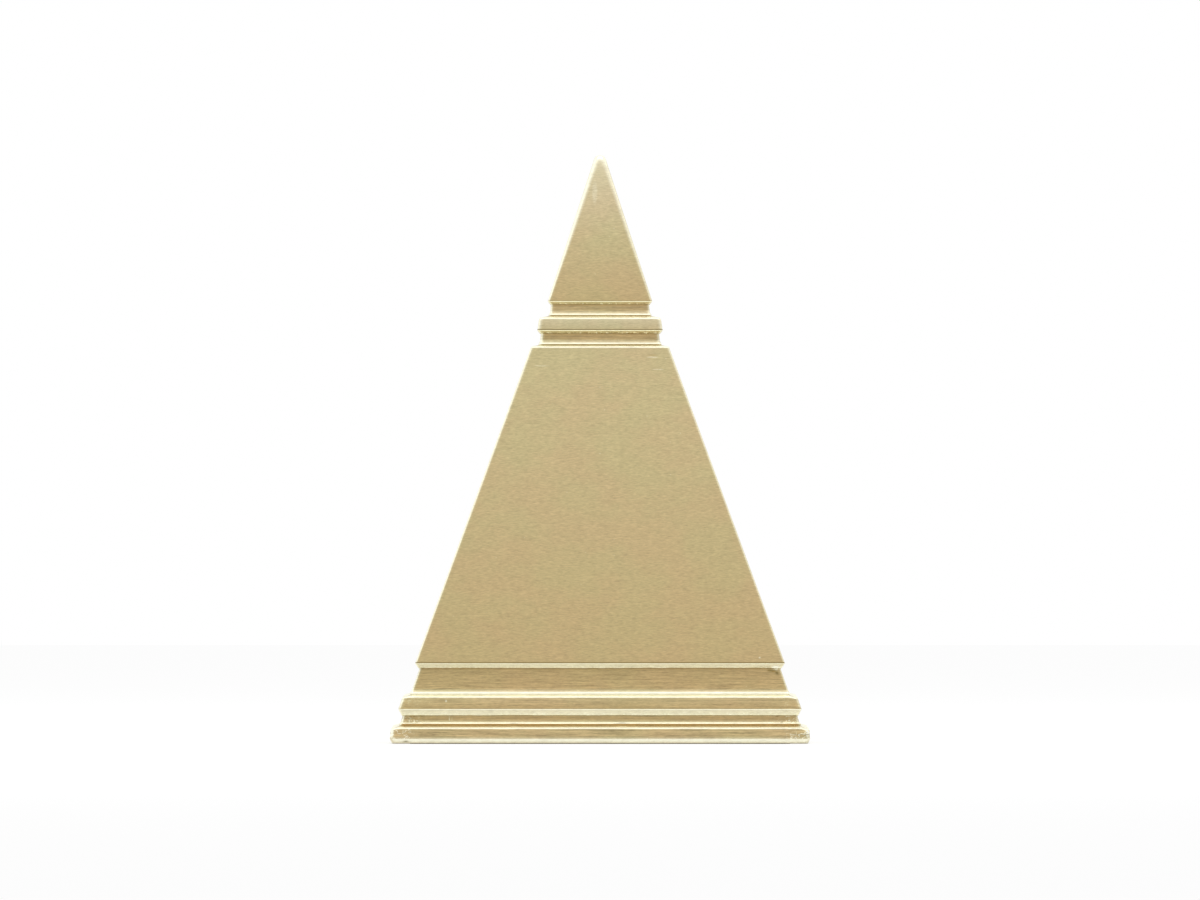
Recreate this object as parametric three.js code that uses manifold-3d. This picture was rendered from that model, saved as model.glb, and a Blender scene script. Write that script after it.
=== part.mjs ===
// A square brass pyramid ornament: five stacked castings drawn together by one tie rod.
// Millimetres, +Z up. The origin is the centre of the face that it rests on.
//
// From the floor up: felt pad, cover plate and its four screws, spider, plinth, lower band, body,
// collar and cap. The rod screws into the cap and runs down the middle. A nut in a well under the
// spider's boss pulls the spider up against a shoulder in the plinth and so clamps the stack.
// Square spigots and lips stop the castings turning.

import * as THREE from "three";
import { mergeVertices } from "three/addons/utils/BufferGeometryUtils.js";
import Module from "manifold-3d";

const wasm = await Module();
wasm.setup();

// The pyramid whose faces the castings lie in
const BASE_WIDTH = 129.6; // across the faces, carried down to the resting plane
const CROWN_WIDTH = 41.45; // across the faces, at the top of the body

// Heights of the castings, each from its own foot to the next one's foot
const PLINTH_HEIGHT = 5.2;
const BAND_HEIGHT = 9.3;
const BODY_HEIGHT = 105.75;
const COLLAR_HEIGHT = 8.85;
const CAP_HEIGHT = 48.8;

// The groove under each face: a sloped soffit, a neck, and a foot that stands on the next casting
const SOFFIT_HEIGHT = 1.4;
const FOOT_STEP = 0.5; // the foot stands this far out from the neck
const FOOT_FILLET = 0.7;
const FOOT_RISER = 0.7;
const CAP_NECK = { height: 1.7, depth: 0.95, lean: 0.08 };
const COLLAR_NECK = { height: 1.7, depth: 1.15, lean: 0.1 };
const BODY_NECK = { height: 6.7, depth: 1.35, lean: 0.35 };
const BAND_NECK = { height: 2.25, depth: 1.25, lean: 0.25 };

// Edges
const LEDGE_FALL = 0.5; // a ledge falls this far from the foot on it to its own edge
const COLLAR_PROUD = 0.55; // the collar's top edge stands this far out of the pyramid's face
const EDGE_RADIUS = 0.6; // on the top edge of each face
const LIP_RADIUS = 0.3; // on the bottom edge of each face, and on each foot
const BULLNOSE_RADIUS = 2.7; // on the plinth's bottom edge
const TIP_RADIUS = 1.9;
const CAP_HIP_RADIUS = 1.1; // the hips are the four slanting corners
const BODY_HIP_RADIUS = 1.0;
const BAND_HIP_RADIUS = 1.3;
const PLINTH_HIP_RADIUS = 1.8;
const INNER_CORNER_RADIUS = 2.0;
const HIP_STEPS = 3;
const EDGE_STEPS = 3;
const BULLNOSE_STEPS = 6;
const ROUND_STEPS = 32;

// Walls
const BODY_WALL = 3.2;
const BODY_CROWN = 9.0; // solid brass at the top of the body
const LIP_WALL = 2.6;
const RIM_WIDTH = 2.3; // the plinth's rim round the cover plate, inside the bullnose

// Spigots, lips and the clearances that they fit with
const SPIGOT_WIDTH = 16.0;
const SPIGOT_HEIGHT = 2.0;
const LIP_HEIGHT = 1.5;
const FIT_CLEARANCE = 0.25; // at each side of a spigot or lip
const SOCKET_RELIEF = 0.3; // below the end of a spigot

// The tie rod and what is on it, of metric size 6
const ROD_RADIUS = 3.0;
const ROD_CHAMFER = 0.6;
const ROD_ENGAGEMENT = 14.0; // thread in the cap, above the end of its spigot
const ROD_OVERHANG = 1.5; // rod showing under the nut
const HOLE_CLEARANCE = 0.35; // at each side of the rod in a plain hole
const THREAD_CLEARANCE = 0.1; // at each side of a thread, which is drawn plain
const NUT_WIDTH = 10.0;
const NUT_HEIGHT = 5.0;
const LOCK_NUT_HEIGHT = 3.2;
const NUT_CHAMFER = 0.5;
const WASHER_RADIUS = 6.0;
const WASHER_THICKNESS = 1.6;
const SPRING_WASHER_RADIUS = 5.6;
const SPRING_WASHER_THICKNESS = 1.6;
const SPRING_WASHER_SLIT = 0.6;
const SPRING_WASHER_SLANT = Math.PI / 5;
const POCKET_CLEARANCE = 1.2; // round a nut or washer, for a socket spanner
const LOCK_NUT_RELIEF = 0.6; // under the lock nut

// The spider: two crossed arms with a boss over the nut's well
const BOSS_WALL = 4.0;
const BOSS_ROOF = 3.5;
const ARM_WIDTH = 14.0;
const ARM_THICKNESS = 2.2;
const ARM_CLEARANCE = 0.3; // between the end of an arm and the plinth
const NUT_HEADROOM = 0.4; // between the end of the rod and the cover plate

// The cover plate, its screws and the felt
const FELT_THICKNESS = 1.2;
const FELT_PROUD = 0.35; // felt below the plinth's rim
const PLATE_THICKNESS = 1.6;
const PLATE_CLEARANCE = 0.3; // between the plate and the rim
const FELT_MARGIN = 0.4; // the felt is this much smaller than the plate, at each side
const PLATE_CORNER_RADIUS = 3.0;
const SCREW_RADIUS = 1.5;
const SCREW_HEAD_RADIUS = 2.75;
const SCREW_LENGTH = 4.4;
const SCREW_INSET = 18.2; // from the plate's edge to a screw's axis
const SCREW_SLOT = { width: 0.8, depth: 0.6 };
const HEAD_CLEARANCE = 0.15;

// What follows from those sizes
const PLINTH_FOOT = FELT_PROUD;
const BAND_FOOT = PLINTH_FOOT + PLINTH_HEIGHT;
const BODY_FOOT = BAND_FOOT + BAND_HEIGHT;
const COLLAR_FOOT = BODY_FOOT + BODY_HEIGHT;
const CAP_FOOT = COLLAR_FOOT + COLLAR_HEIGHT;
const LEAN = (BASE_WIDTH - CROWN_WIDTH) / 2 / COLLAR_FOOT; // inwards, per millimetre of height
const LEAN_ANGLE = Math.atan(LEAN);

// Half the width between opposite faces of the pyramid, at a height
const faceAt = (z) => BASE_WIDTH / 2 - LEAN * z;

const brass = (name) => new THREE.MeshStandardMaterial({ name, color: 0xc8b489, roughness: 0.36, metalness: 1 });
const steel = (name) => new THREE.MeshStandardMaterial({ name, color: 0xa9abad, roughness: 0.4, metalness: 1 });
const felt = (name) => new THREE.MeshStandardMaterial({ name, color: 0x26241f, roughness: 0.95, metalness: 0 });

// A point of a square profile: half the width across the faces, height, and the corner's radius
const point = (half, z, corner) => ({ half, z, corner: Math.min(corner, half) });

// Points that round off the corner at b, between the straight lines to a and c
function rounded(a, b, c, radius, steps) {
  const [pa, pb, pc] = [a, b, c].map((p) => new THREE.Vector2(p.half, p.z));
  const toA = pa.clone().sub(pb).normalize();
  const toC = pc.clone().sub(pb).normalize();
  const halfAngle = Math.acos(THREE.MathUtils.clamp(toA.dot(toC), -1, 1)) / 2;
  const reach = Math.min(radius / Math.tan(halfAngle), pa.distanceTo(pb) / 2, pc.distanceTo(pb) / 2);
  const used = reach * Math.tan(halfAngle);
  const centre = pb.clone().addScaledVector(toA.clone().add(toC).normalize(), used / Math.sin(halfAngle));
  const from = pb.clone().addScaledVector(toA, reach).sub(centre);
  const to = pb.clone().addScaledVector(toC, reach).sub(centre);
  const turn = Math.atan2(from.cross(to), from.dot(to));
  return Array.from({ length: steps + 1 }, (_, i) => {
    const spoke = from.clone().rotateAround(new THREE.Vector2(), (turn * i) / steps);
    return point(centre.x + spoke.x, centre.y + spoke.y, b.corner);
  });
}

// One turn round the square at a profile point, counter-clockwise from +X, with rounded corners
function squareRing({ half, z, corner }) {
  const ring = [];
  for (let quarter = 0; quarter < 4; quarter++) {
    const middle = (quarter + 0.5) * (Math.PI / 2);
    const cornerX = Math.sign(Math.cos(middle)) * (half - corner);
    const cornerY = Math.sign(Math.sin(middle)) * (half - corner);
    for (let i = 0; i <= HIP_STEPS; i++) {
      const angle = (quarter + i / HIP_STEPS) * (Math.PI / 2);
      ring.push([cornerX + corner * Math.cos(angle), cornerY + corner * Math.sin(angle), z]);
    }
  }
  return ring;
}

// A closed profile carried round a square, as a lathe carries one round a circle.
// The profile runs counter-clockwise with half to the right and z up, and may lie on the axis.
function squareTurning(profile) {
  const rings = profile.map(squareRing);
  const count = rings[0].length;
  const positions = [];
  const same = (a, b) => Math.hypot(a[0] - b[0], a[1] - b[1], a[2] - b[2]) < 1e-5;
  const addTriangle = (a, b, c) => {
    if (!same(a, b) && !same(b, c) && !same(a, c)) positions.push(...a, ...b, ...c);
  };
  rings.forEach((ring, i) => {
    const next = rings[(i + 1) % rings.length];
    for (let j = 0; j < count; j++) {
      const k = (j + 1) % count;
      addTriangle(ring[j], ring[k], next[k]);
      addTriangle(ring[j], next[k], next[j]);
    }
  });
  return new THREE.BufferGeometry().setAttribute("position", new THREE.Float32BufferAttribute(positions, 3));
}

// A three.js geometry as a solid that can be cut and joined
function solid(geometry) {
  const bare = geometry.clone();
  bare.deleteAttribute("normal");
  bare.deleteAttribute("uv");
  const merged = mergeVertices(bare, 1e-4);
  const vertProperties = new Float32Array(merged.attributes.position.array);
  const triVerts = new Uint32Array(merged.index.array);
  return new wasm.Manifold(new wasm.Mesh({ numProp: 3, vertProperties, triVerts }));
}

// A solid back as a three.js geometry
function geometryOf(manifold) {
  const made = manifold.getMesh();
  return new THREE.BufferGeometry()
    .setAttribute("position", new THREE.Float32BufferAttribute(made.vertProperties, 3))
    .setIndex(new THREE.Uint32BufferAttribute(made.triVerts, 1));
}

// An upright round bar between two heights, centred on x, y
function bar(radius, bottom, top, x = 0, y = 0, steps = ROUND_STEPS) {
  return solid(
    new THREE.CylinderGeometry(radius, radius, top - bottom, steps)
      .rotateX(Math.PI / 2)
      .translate(x, y, (bottom + top) / 2),
  );
}

// A round solid from a profile of [radius, height] pairs that starts and ends on the axis
function turned(pairs, x = 0, y = 0) {
  const profile = pairs.map(([radius, height]) => new THREE.Vector2(radius, height));
  return solid(new THREE.LatheGeometry(profile, ROUND_STEPS).rotateX(Math.PI / 2).translate(x, y, 0));
}

// A flat square plate with rounded corners
function plate(half, corner, bottom, thickness) {
  const outline = new THREE.Shape(
    squareRing({ half, z: 0, corner }).map(([x, y]) => new THREE.Vector2(x, y)),
  );
  const options = { depth: thickness, bevelEnabled: false };
  return solid(new THREE.ExtrudeGeometry(outline, options).translate(0, 0, bottom));
}

// The outside of a casting from its foot up to the bottom edge of its face
function grooveProfile(foot, neck, hip) {
  const faceBottom = foot + FOOT_RISER + FOOT_FILLET + neck.height + SOFFIT_HEIGHT;
  const neckTop = point(faceAt(faceBottom) - neck.depth, faceBottom - SOFFIT_HEIGHT, hip);
  const neckBottom = point(neckTop.half + neck.lean * neck.height, neckTop.z - neck.height, hip);
  const footTop = point(neckBottom.half + FOOT_STEP, foot + FOOT_RISER, hip);
  const footBottom = point(footTop.half, foot, hip);
  const faceEdge = point(faceAt(faceBottom), faceBottom, hip);
  return { footBottom, footTop, neckBottom, neckTop, faceEdge };
}

// Half the width of a casting's foot, which the casting below makes its platform from
const footHalf = (foot, neck) => grooveProfile(foot, neck, 0.1).footBottom.half;

// The groove's points in order, with the foot's and the face's edges eased
function groovePoints(groove, aboveFace) {
  const { footBottom, footTop, neckBottom, neckTop, faceEdge } = groove;
  return [
    footBottom,
    ...rounded(footBottom, footTop, neckBottom, LIP_RADIUS, EDGE_STEPS),
    neckBottom,
    neckTop,
    ...rounded(neckTop, faceEdge, aboveFace, LIP_RADIUS, EDGE_STEPS),
  ];
}

// The ledge on top of a casting, from its face to the foot that stands on it
function ledgePoints(belowFace, platform, footAbove, hip, proud = 0) {
  const ledgeEdge = point(faceAt(platform - LEDGE_FALL) + proud, platform - LEDGE_FALL, hip);
  const ledgeFoot = point(footAbove, platform, hip);
  return [...rounded(belowFace, ledgeEdge, ledgeFoot, EDGE_RADIUS, EDGE_STEPS), ledgeFoot];
}

const SPIGOT_HALF = SPIGOT_WIDTH / 2;
const SOCKET_HALF = SPIGOT_HALF + FIT_CLEARANCE;
const SOCKET_DEPTH = SPIGOT_HEIGHT + SOCKET_RELIEF;
const SPIGOT_CORNER = 1.0;

function makeCap() {
  const groove = grooveProfile(CAP_FOOT, CAP_NECK, CAP_HIP_RADIUS);
  const edge = groove.faceEdge;
  const ballCentre = CAP_FOOT + CAP_HEIGHT - TIP_RADIUS;
  // The face runs from the cap's edge and touches the ball of the tip
  const toBall = new THREE.Vector2(edge.half, ballCentre - edge.z);
  const capLean = Math.acos(TIP_RADIUS / toBall.length()) - toBall.angle();
  const tip = [];
  for (let i = 0; i <= EDGE_STEPS; i++) {
    const angle = capLean + ((Math.PI / 2 - capLean) * i) / EDGE_STEPS;
    const half = i === EDGE_STEPS ? 0 : TIP_RADIUS * Math.cos(angle);
    tip.push(point(half, ballCentre + TIP_RADIUS * Math.sin(angle), CAP_HIP_RADIUS));
  }
  const spigotEnd = CAP_FOOT - SPIGOT_HEIGHT;
  const casting = squareTurning([
    point(0, spigotEnd, 0),
    point(SPIGOT_HALF, spigotEnd, SPIGOT_CORNER),
    point(SPIGOT_HALF, CAP_FOOT, SPIGOT_CORNER),
    ...groovePoints(groove, tip[0]),
    ...tip,
  ]);
  const tapped = bar(ROD_RADIUS + THREAD_CLEARANCE, spigotEnd - 1, spigotEnd + ROD_ENGAGEMENT);
  return solid(casting).subtract(tapped);
}

function makeCollar() {
  const groove = grooveProfile(COLLAR_FOOT, COLLAR_NECK, CAP_HIP_RADIUS);
  const capFoot = footHalf(CAP_FOOT, CAP_NECK);
  const ledge = ledgePoints(groove.faceEdge, CAP_FOOT, capFoot, CAP_HIP_RADIUS, COLLAR_PROUD);
  const spigotEnd = COLLAR_FOOT - SPIGOT_HEIGHT;
  const socketFloor = CAP_FOOT - SOCKET_DEPTH;
  const casting = squareTurning([
    point(0, spigotEnd, 0),
    point(SPIGOT_HALF, spigotEnd, SPIGOT_CORNER),
    point(SPIGOT_HALF, COLLAR_FOOT, SPIGOT_CORNER),
    ...groovePoints(groove, ledge[0]),
    ...ledge,
    point(SOCKET_HALF, CAP_FOOT, SPIGOT_CORNER),
    point(SOCKET_HALF, socketFloor, SPIGOT_CORNER),
    point(0, socketFloor, 0),
  ]);
  const nutPocketFloor = CAP_FOOT - SPIGOT_HEIGHT - LOCK_NUT_HEIGHT - LOCK_NUT_RELIEF;
  const nutReach = NUT_WIDTH / 2 / Math.cos(Math.PI / 6);
  const nutPocket = bar(nutReach + POCKET_CLEARANCE, nutPocketFloor, socketFloor + 1);
  const rodHole = bar(ROD_RADIUS + HOLE_CLEARANCE, spigotEnd - 1, socketFloor + 1);
  return solid(casting).subtract(nutPocket).subtract(rodHole);
}

// Half the width of the body's hollow: it leaves the wall at the neck and at the crown
const BODY_GROOVE = grooveProfile(BODY_FOOT, BODY_NECK, BODY_HIP_RADIUS);
const HOLLOW_TOP = COLLAR_FOOT - BODY_CROWN;
const HOLLOW_TOP_HALF = faceAt(HOLLOW_TOP) - BODY_WALL;
const HOLLOW_NECK_HALF = BODY_GROOVE.neckTop.half - BODY_WALL;
const HOLLOW_LEAN = (HOLLOW_NECK_HALF - HOLLOW_TOP_HALF) / (HOLLOW_TOP - BODY_GROOVE.neckTop.z);
const hollowAt = (z) => HOLLOW_TOP_HALF + HOLLOW_LEAN * (HOLLOW_TOP - z);

function makeBody() {
  const groove = BODY_GROOVE;
  const collarFoot = footHalf(COLLAR_FOOT, COLLAR_NECK);
  const ledge = ledgePoints(groove.faceEdge, COLLAR_FOOT, collarFoot, BODY_HIP_RADIUS);
  const socketFloor = COLLAR_FOOT - SOCKET_DEPTH;
  const casting = squareTurning([
    ...groovePoints(groove, ledge[0]),
    ...ledge,
    point(SOCKET_HALF, COLLAR_FOOT, SPIGOT_CORNER),
    point(SOCKET_HALF, socketFloor, SPIGOT_CORNER),
    point(0, socketFloor, 0),
    point(0, HOLLOW_TOP, 0),
    point(hollowAt(HOLLOW_TOP), HOLLOW_TOP, INNER_CORNER_RADIUS),
    point(hollowAt(BODY_FOOT), BODY_FOOT, INNER_CORNER_RADIUS),
  ]);
  const rodHole = bar(ROD_RADIUS + HOLE_CLEARANCE, HOLLOW_TOP - 1, socketFloor + 1);
  return solid(casting).subtract(rodHole);
}

// The band's lip stands inside the body's hollow, and the plinth's lip inside the band
const BAND_LIP_HALF = hollowAt(BODY_FOOT) - FIT_CLEARANCE;
const BAND_OPENING = BAND_LIP_HALF - LIP_WALL;
const PLINTH_LIP_HALF = BAND_OPENING - FIT_CLEARANCE;
const PLINTH_OPENING = PLINTH_LIP_HALF - LIP_WALL;

function makeLowerBand() {
  const groove = grooveProfile(BAND_FOOT, BAND_NECK, BAND_HIP_RADIUS);
  const ledge = ledgePoints(groove.faceEdge, BODY_FOOT, footHalf(BODY_FOOT, BODY_NECK), BAND_HIP_RADIUS);
  const lipTopHalf = hollowAt(BODY_FOOT + LIP_HEIGHT) - FIT_CLEARANCE;
  return solid(
    squareTurning([
      ...groovePoints(groove, ledge[0]),
      ...ledge,
      point(BAND_LIP_HALF, BODY_FOOT, INNER_CORNER_RADIUS),
      point(lipTopHalf, BODY_FOOT + LIP_HEIGHT, INNER_CORNER_RADIUS),
      point(BAND_OPENING, BODY_FOOT + LIP_HEIGHT, INNER_CORNER_RADIUS),
      point(BAND_OPENING, BAND_FOOT, INNER_CORNER_RADIUS),
    ]),
  );
}

// The plinth's bullnose touches the leaning face and the rim's flat underside
const BULLNOSE_Z = PLINTH_FOOT + BULLNOSE_RADIUS;
const BULLNOSE_X = faceAt(BULLNOSE_Z) - BULLNOSE_RADIUS / Math.cos(LEAN_ANGLE);
const PLATE_TOP = FELT_THICKNESS + PLATE_THICKNESS;
const RECESS_HALF = BULLNOSE_X - RIM_WIDTH;
const PLATE_HALF = RECESS_HALF - PLATE_CLEARANCE;
const SCREW_DISTANCE = PLATE_HALF - SCREW_INSET; // from the rod's axis
const SHOULDER = PLATE_TOP + ARM_THICKNESS; // the spider's arms bear up against it
const SCREW_POINT = FELT_THICKNESS + SCREW_LENGTH;

// The nut's well: rod end, nut, spring washer and flat washer, from the cover plate up
const ROD_END = PLATE_TOP + NUT_HEADROOM;
const NUT_BOTTOM = ROD_END + ROD_OVERHANG;
const SPRING_WASHER_BOTTOM = NUT_BOTTOM + NUT_HEIGHT;
const WASHER_BOTTOM = SPRING_WASHER_BOTTOM + SPRING_WASHER_THICKNESS;
const WELL_ROOF = WASHER_BOTTOM + WASHER_THICKNESS;
const WELL_RADIUS = WASHER_RADIUS + POCKET_CLEARANCE;
const BOSS_RADIUS = WELL_RADIUS + BOSS_WALL;
const BOSS_TOP = WELL_ROOF + BOSS_ROOF;

// The four places of the screws, and of their holes
const SCREW_PLACES = [
  [SCREW_DISTANCE, 0],
  [0, SCREW_DISTANCE],
  [-SCREW_DISTANCE, 0],
  [0, -SCREW_DISTANCE],
];

function makePlinth() {
  const hip = PLINTH_HIP_RADIUS;
  const bullnose = [];
  for (let i = 0; i <= BULLNOSE_STEPS; i++) {
    const angle = -Math.PI / 2 + ((Math.PI / 2 + LEAN_ANGLE) * i) / BULLNOSE_STEPS;
    const half = BULLNOSE_X + BULLNOSE_RADIUS * Math.cos(angle);
    bullnose.push(point(half, BULLNOSE_Z + BULLNOSE_RADIUS * Math.sin(angle), hip));
  }
  const ledge = ledgePoints(bullnose[BULLNOSE_STEPS], BAND_FOOT, footHalf(BAND_FOOT, BAND_NECK), hip);
  return solid(
    squareTurning([
      ...bullnose,
      ...ledge,
      point(PLINTH_LIP_HALF, BAND_FOOT, INNER_CORNER_RADIUS),
      point(PLINTH_LIP_HALF, BAND_FOOT + LIP_HEIGHT, INNER_CORNER_RADIUS),
      point(PLINTH_OPENING, BAND_FOOT + LIP_HEIGHT, INNER_CORNER_RADIUS),
      point(PLINTH_OPENING, SHOULDER, INNER_CORNER_RADIUS),
      point(PLINTH_LIP_HALF, SHOULDER, INNER_CORNER_RADIUS),
      point(PLINTH_LIP_HALF, PLATE_TOP, INNER_CORNER_RADIUS),
      point(RECESS_HALF, PLATE_TOP, PLATE_CORNER_RADIUS),
      point(RECESS_HALF, PLINTH_FOOT, PLATE_CORNER_RADIUS),
    ]),
  );
}

function makeSpider() {
  const armLength = 2 * (PLINTH_LIP_HALF - ARM_CLEARANCE);
  const armMiddle = PLATE_TOP + ARM_THICKNESS / 2;
  const arms = [
    [armLength, ARM_WIDTH],
    [ARM_WIDTH, armLength],
  ].map(([x, y]) => solid(new THREE.BoxGeometry(x, y, ARM_THICKNESS).translate(0, 0, armMiddle)));
  const boss = bar(BOSS_RADIUS, PLATE_TOP, BOSS_TOP);
  const well = bar(WELL_RADIUS, PLATE_TOP - 1, WELL_ROOF);
  const rodHole = bar(ROD_RADIUS + HOLE_CLEARANCE, WELL_ROOF - 1, BOSS_TOP + 1);
  let made = arms[0].add(arms[1]).add(boss).subtract(well).subtract(rodHole);
  for (const [x, y] of SCREW_PLACES) {
    made = made.subtract(bar(SCREW_RADIUS + THREAD_CLEARANCE, PLATE_TOP - 1, SHOULDER + 1, x, y));
  }
  return made;
}

function makeTieRod() {
  const top = CAP_FOOT - SPIGOT_HEIGHT + ROD_ENGAGEMENT;
  return turned([
    [0, ROD_END],
    [ROD_RADIUS - ROD_CHAMFER, ROD_END],
    [ROD_RADIUS, ROD_END + ROD_CHAMFER],
    [ROD_RADIUS, top - ROD_CHAMFER],
    [ROD_RADIUS - ROD_CHAMFER, top],
    [0, top],
  ]);
}

// A hexagon nut with its corners chamfered at both ends
function makeNut(bottom, height) {
  const reach = NUT_WIDTH / 2 / Math.cos(Math.PI / 6);
  const hexagon = bar(reach, bottom, bottom + height, 0, 0, 6);
  const chamfered = turned([
    [0, bottom],
    [reach - NUT_CHAMFER, bottom],
    [reach + NUT_CHAMFER, bottom + NUT_CHAMFER],
    [reach + NUT_CHAMFER, bottom + height - NUT_CHAMFER],
    [reach - NUT_CHAMFER, bottom + height],
    [0, bottom + height],
  ]);
  const thread = bar(ROD_RADIUS + THREAD_CLEARANCE, bottom - 1, bottom + height + 1);
  return hexagon.intersect(chamfered).subtract(thread);
}

function makeRing(outerRadius, innerRadius, bottom, thickness) {
  const hole = bar(innerRadius, bottom - 1, bottom + thickness + 1);
  return bar(outerRadius, bottom, bottom + thickness).subtract(hole);
}

// A spring washer lies flat when it is tight, and shows only its slanting slit
function makeSpringWasher() {
  const bore = ROD_RADIUS + HOLE_CLEARANCE;
  const ring = makeRing(SPRING_WASHER_RADIUS, bore, SPRING_WASHER_BOTTOM, SPRING_WASHER_THICKNESS);
  const middle = SPRING_WASHER_BOTTOM + SPRING_WASHER_THICKNESS / 2;
  const slit = new THREE.BoxGeometry(SPRING_WASHER_RADIUS, SPRING_WASHER_SLIT, 4 * SPRING_WASHER_THICKNESS)
    .rotateX(SPRING_WASHER_SLANT)
    .translate(SPRING_WASHER_RADIUS / 2 + ROD_RADIUS / 2, 0, middle);
  return ring.subtract(solid(slit));
}

// The cone of a countersunk head, or of the hole that it lies in, from the plate's underside up
function countersink(headRadius, shankRadius, x, y) {
  const depth = headRadius - shankRadius;
  return turned(
    [
      [0, FELT_THICKNESS],
      [headRadius, FELT_THICKNESS],
      [shankRadius, FELT_THICKNESS + depth],
      [0, FELT_THICKNESS + depth],
    ],
    x,
    y,
  );
}

function makeCoverPlate() {
  const holeRadius = SCREW_RADIUS + HEAD_CLEARANCE;
  let made = plate(PLATE_HALF, PLATE_CORNER_RADIUS, FELT_THICKNESS, PLATE_THICKNESS);
  for (const [x, y] of SCREW_PLACES) {
    made = made
      .subtract(countersink(SCREW_HEAD_RADIUS + HEAD_CLEARANCE, holeRadius, x, y))
      .subtract(bar(holeRadius, FELT_THICKNESS, PLATE_TOP + 1, x, y));
  }
  return made;
}

function makeCoverScrew([x, y]) {
  const slotLength = 2 * SCREW_HEAD_RADIUS + 1;
  const slot = new THREE.BoxGeometry(slotLength, SCREW_SLOT.width, 2 * SCREW_SLOT.depth)
    .rotateZ(Math.atan2(y, x))
    .translate(x, y, FELT_THICKNESS);
  return countersink(SCREW_HEAD_RADIUS, SCREW_RADIUS, x, y)
    .add(bar(SCREW_RADIUS, FELT_THICKNESS + SCREW_SLOT.depth, SCREW_POINT, x, y))
    .subtract(solid(slot));
}

const makeFeltPad = () => plate(PLATE_HALF - FELT_MARGIN, PLATE_CORNER_RADIUS, 0, FELT_THICKNESS);

const pyramid = new THREE.Group();
pyramid.name = "brass_pyramid";

function addPiece(name, made, material) {
  const mesh = new THREE.Mesh(geometryOf(made), material);
  mesh.name = name;
  pyramid.add(mesh);
}

addPiece("cap", makeCap(), brass("cap"));
addPiece("collar", makeCollar(), brass("collar"));
addPiece("body", makeBody(), brass("body"));
addPiece("lower_band", makeLowerBand(), brass("lower_band"));
addPiece("plinth", makePlinth(), brass("plinth"));
addPiece("spider", makeSpider(), brass("spider"));
addPiece("tie_rod", makeTieRod(), steel("tie_rod"));
addPiece("lock_nut", makeNut(CAP_FOOT - SPIGOT_HEIGHT - LOCK_NUT_HEIGHT, LOCK_NUT_HEIGHT), steel("lock_nut"));
addPiece(
  "flat_washer",
  makeRing(WASHER_RADIUS, ROD_RADIUS + HOLE_CLEARANCE, WASHER_BOTTOM, WASHER_THICKNESS),
  steel("flat_washer"),
);
addPiece("spring_washer", makeSpringWasher(), steel("spring_washer"));
addPiece("clamp_nut", makeNut(NUT_BOTTOM, NUT_HEIGHT), steel("clamp_nut"));
addPiece("cover_plate", makeCoverPlate(), steel("cover_plate"));
SCREW_PLACES.forEach((place, i) => {
  addPiece(`cover_screw_${i + 1}`, makeCoverScrew(place), steel(`cover_screw_${i + 1}`));
});
addPiece("felt_pad", makeFeltPad(), felt("felt_pad"));

export default pyramid;
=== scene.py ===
"""A grooved brass pyramid ornament on a white studio floor.

Blender works in metres, +Z up, with the front towards -Y; the sizes below are in millimetres. The
five castings are turned round a square from their outlines by one geometry node tree, which also
gives them the small unevenness of hand filing. The spider, the rod and its nuts, the cover plate
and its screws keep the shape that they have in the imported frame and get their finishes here.
"""

import logging
import math
from collections.abc import Callable, Sequence
from dataclasses import astuple, dataclass, replace
from enum import Enum

import bpy
import numpy as np
from bpy.types import Material, Node, NodeSocket, NodeTree, Object
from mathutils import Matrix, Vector


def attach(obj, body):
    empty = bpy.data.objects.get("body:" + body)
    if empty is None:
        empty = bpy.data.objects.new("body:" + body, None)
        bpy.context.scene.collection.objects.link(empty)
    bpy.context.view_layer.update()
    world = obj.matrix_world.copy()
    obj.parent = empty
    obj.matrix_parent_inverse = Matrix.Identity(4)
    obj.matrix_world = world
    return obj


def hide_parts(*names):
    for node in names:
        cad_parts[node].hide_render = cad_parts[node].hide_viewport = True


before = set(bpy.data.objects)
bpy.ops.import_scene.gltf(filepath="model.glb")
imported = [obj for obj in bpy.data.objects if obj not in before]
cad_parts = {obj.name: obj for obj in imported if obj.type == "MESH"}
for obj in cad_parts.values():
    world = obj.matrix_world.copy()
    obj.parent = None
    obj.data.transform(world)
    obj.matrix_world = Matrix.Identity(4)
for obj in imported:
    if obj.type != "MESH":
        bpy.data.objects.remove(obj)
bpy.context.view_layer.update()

logging.basicConfig(level=logging.INFO, format="%(message)s")
log = logging.getLogger("brass_pyramid")

MM = 0.001
QUARTER_TURN = math.pi / 2
BODY = "root"


class Slot(Enum):
    """Two material slot names, which nothing in this script uses."""

    BRASS = "brushed_brass"
    FELT = "dark_felt"


def operator(operation: str) -> Callable:
    """A Python operator of a wire that adds a Math node."""
    return lambda wire, other: wire.math(operation, other)


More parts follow.
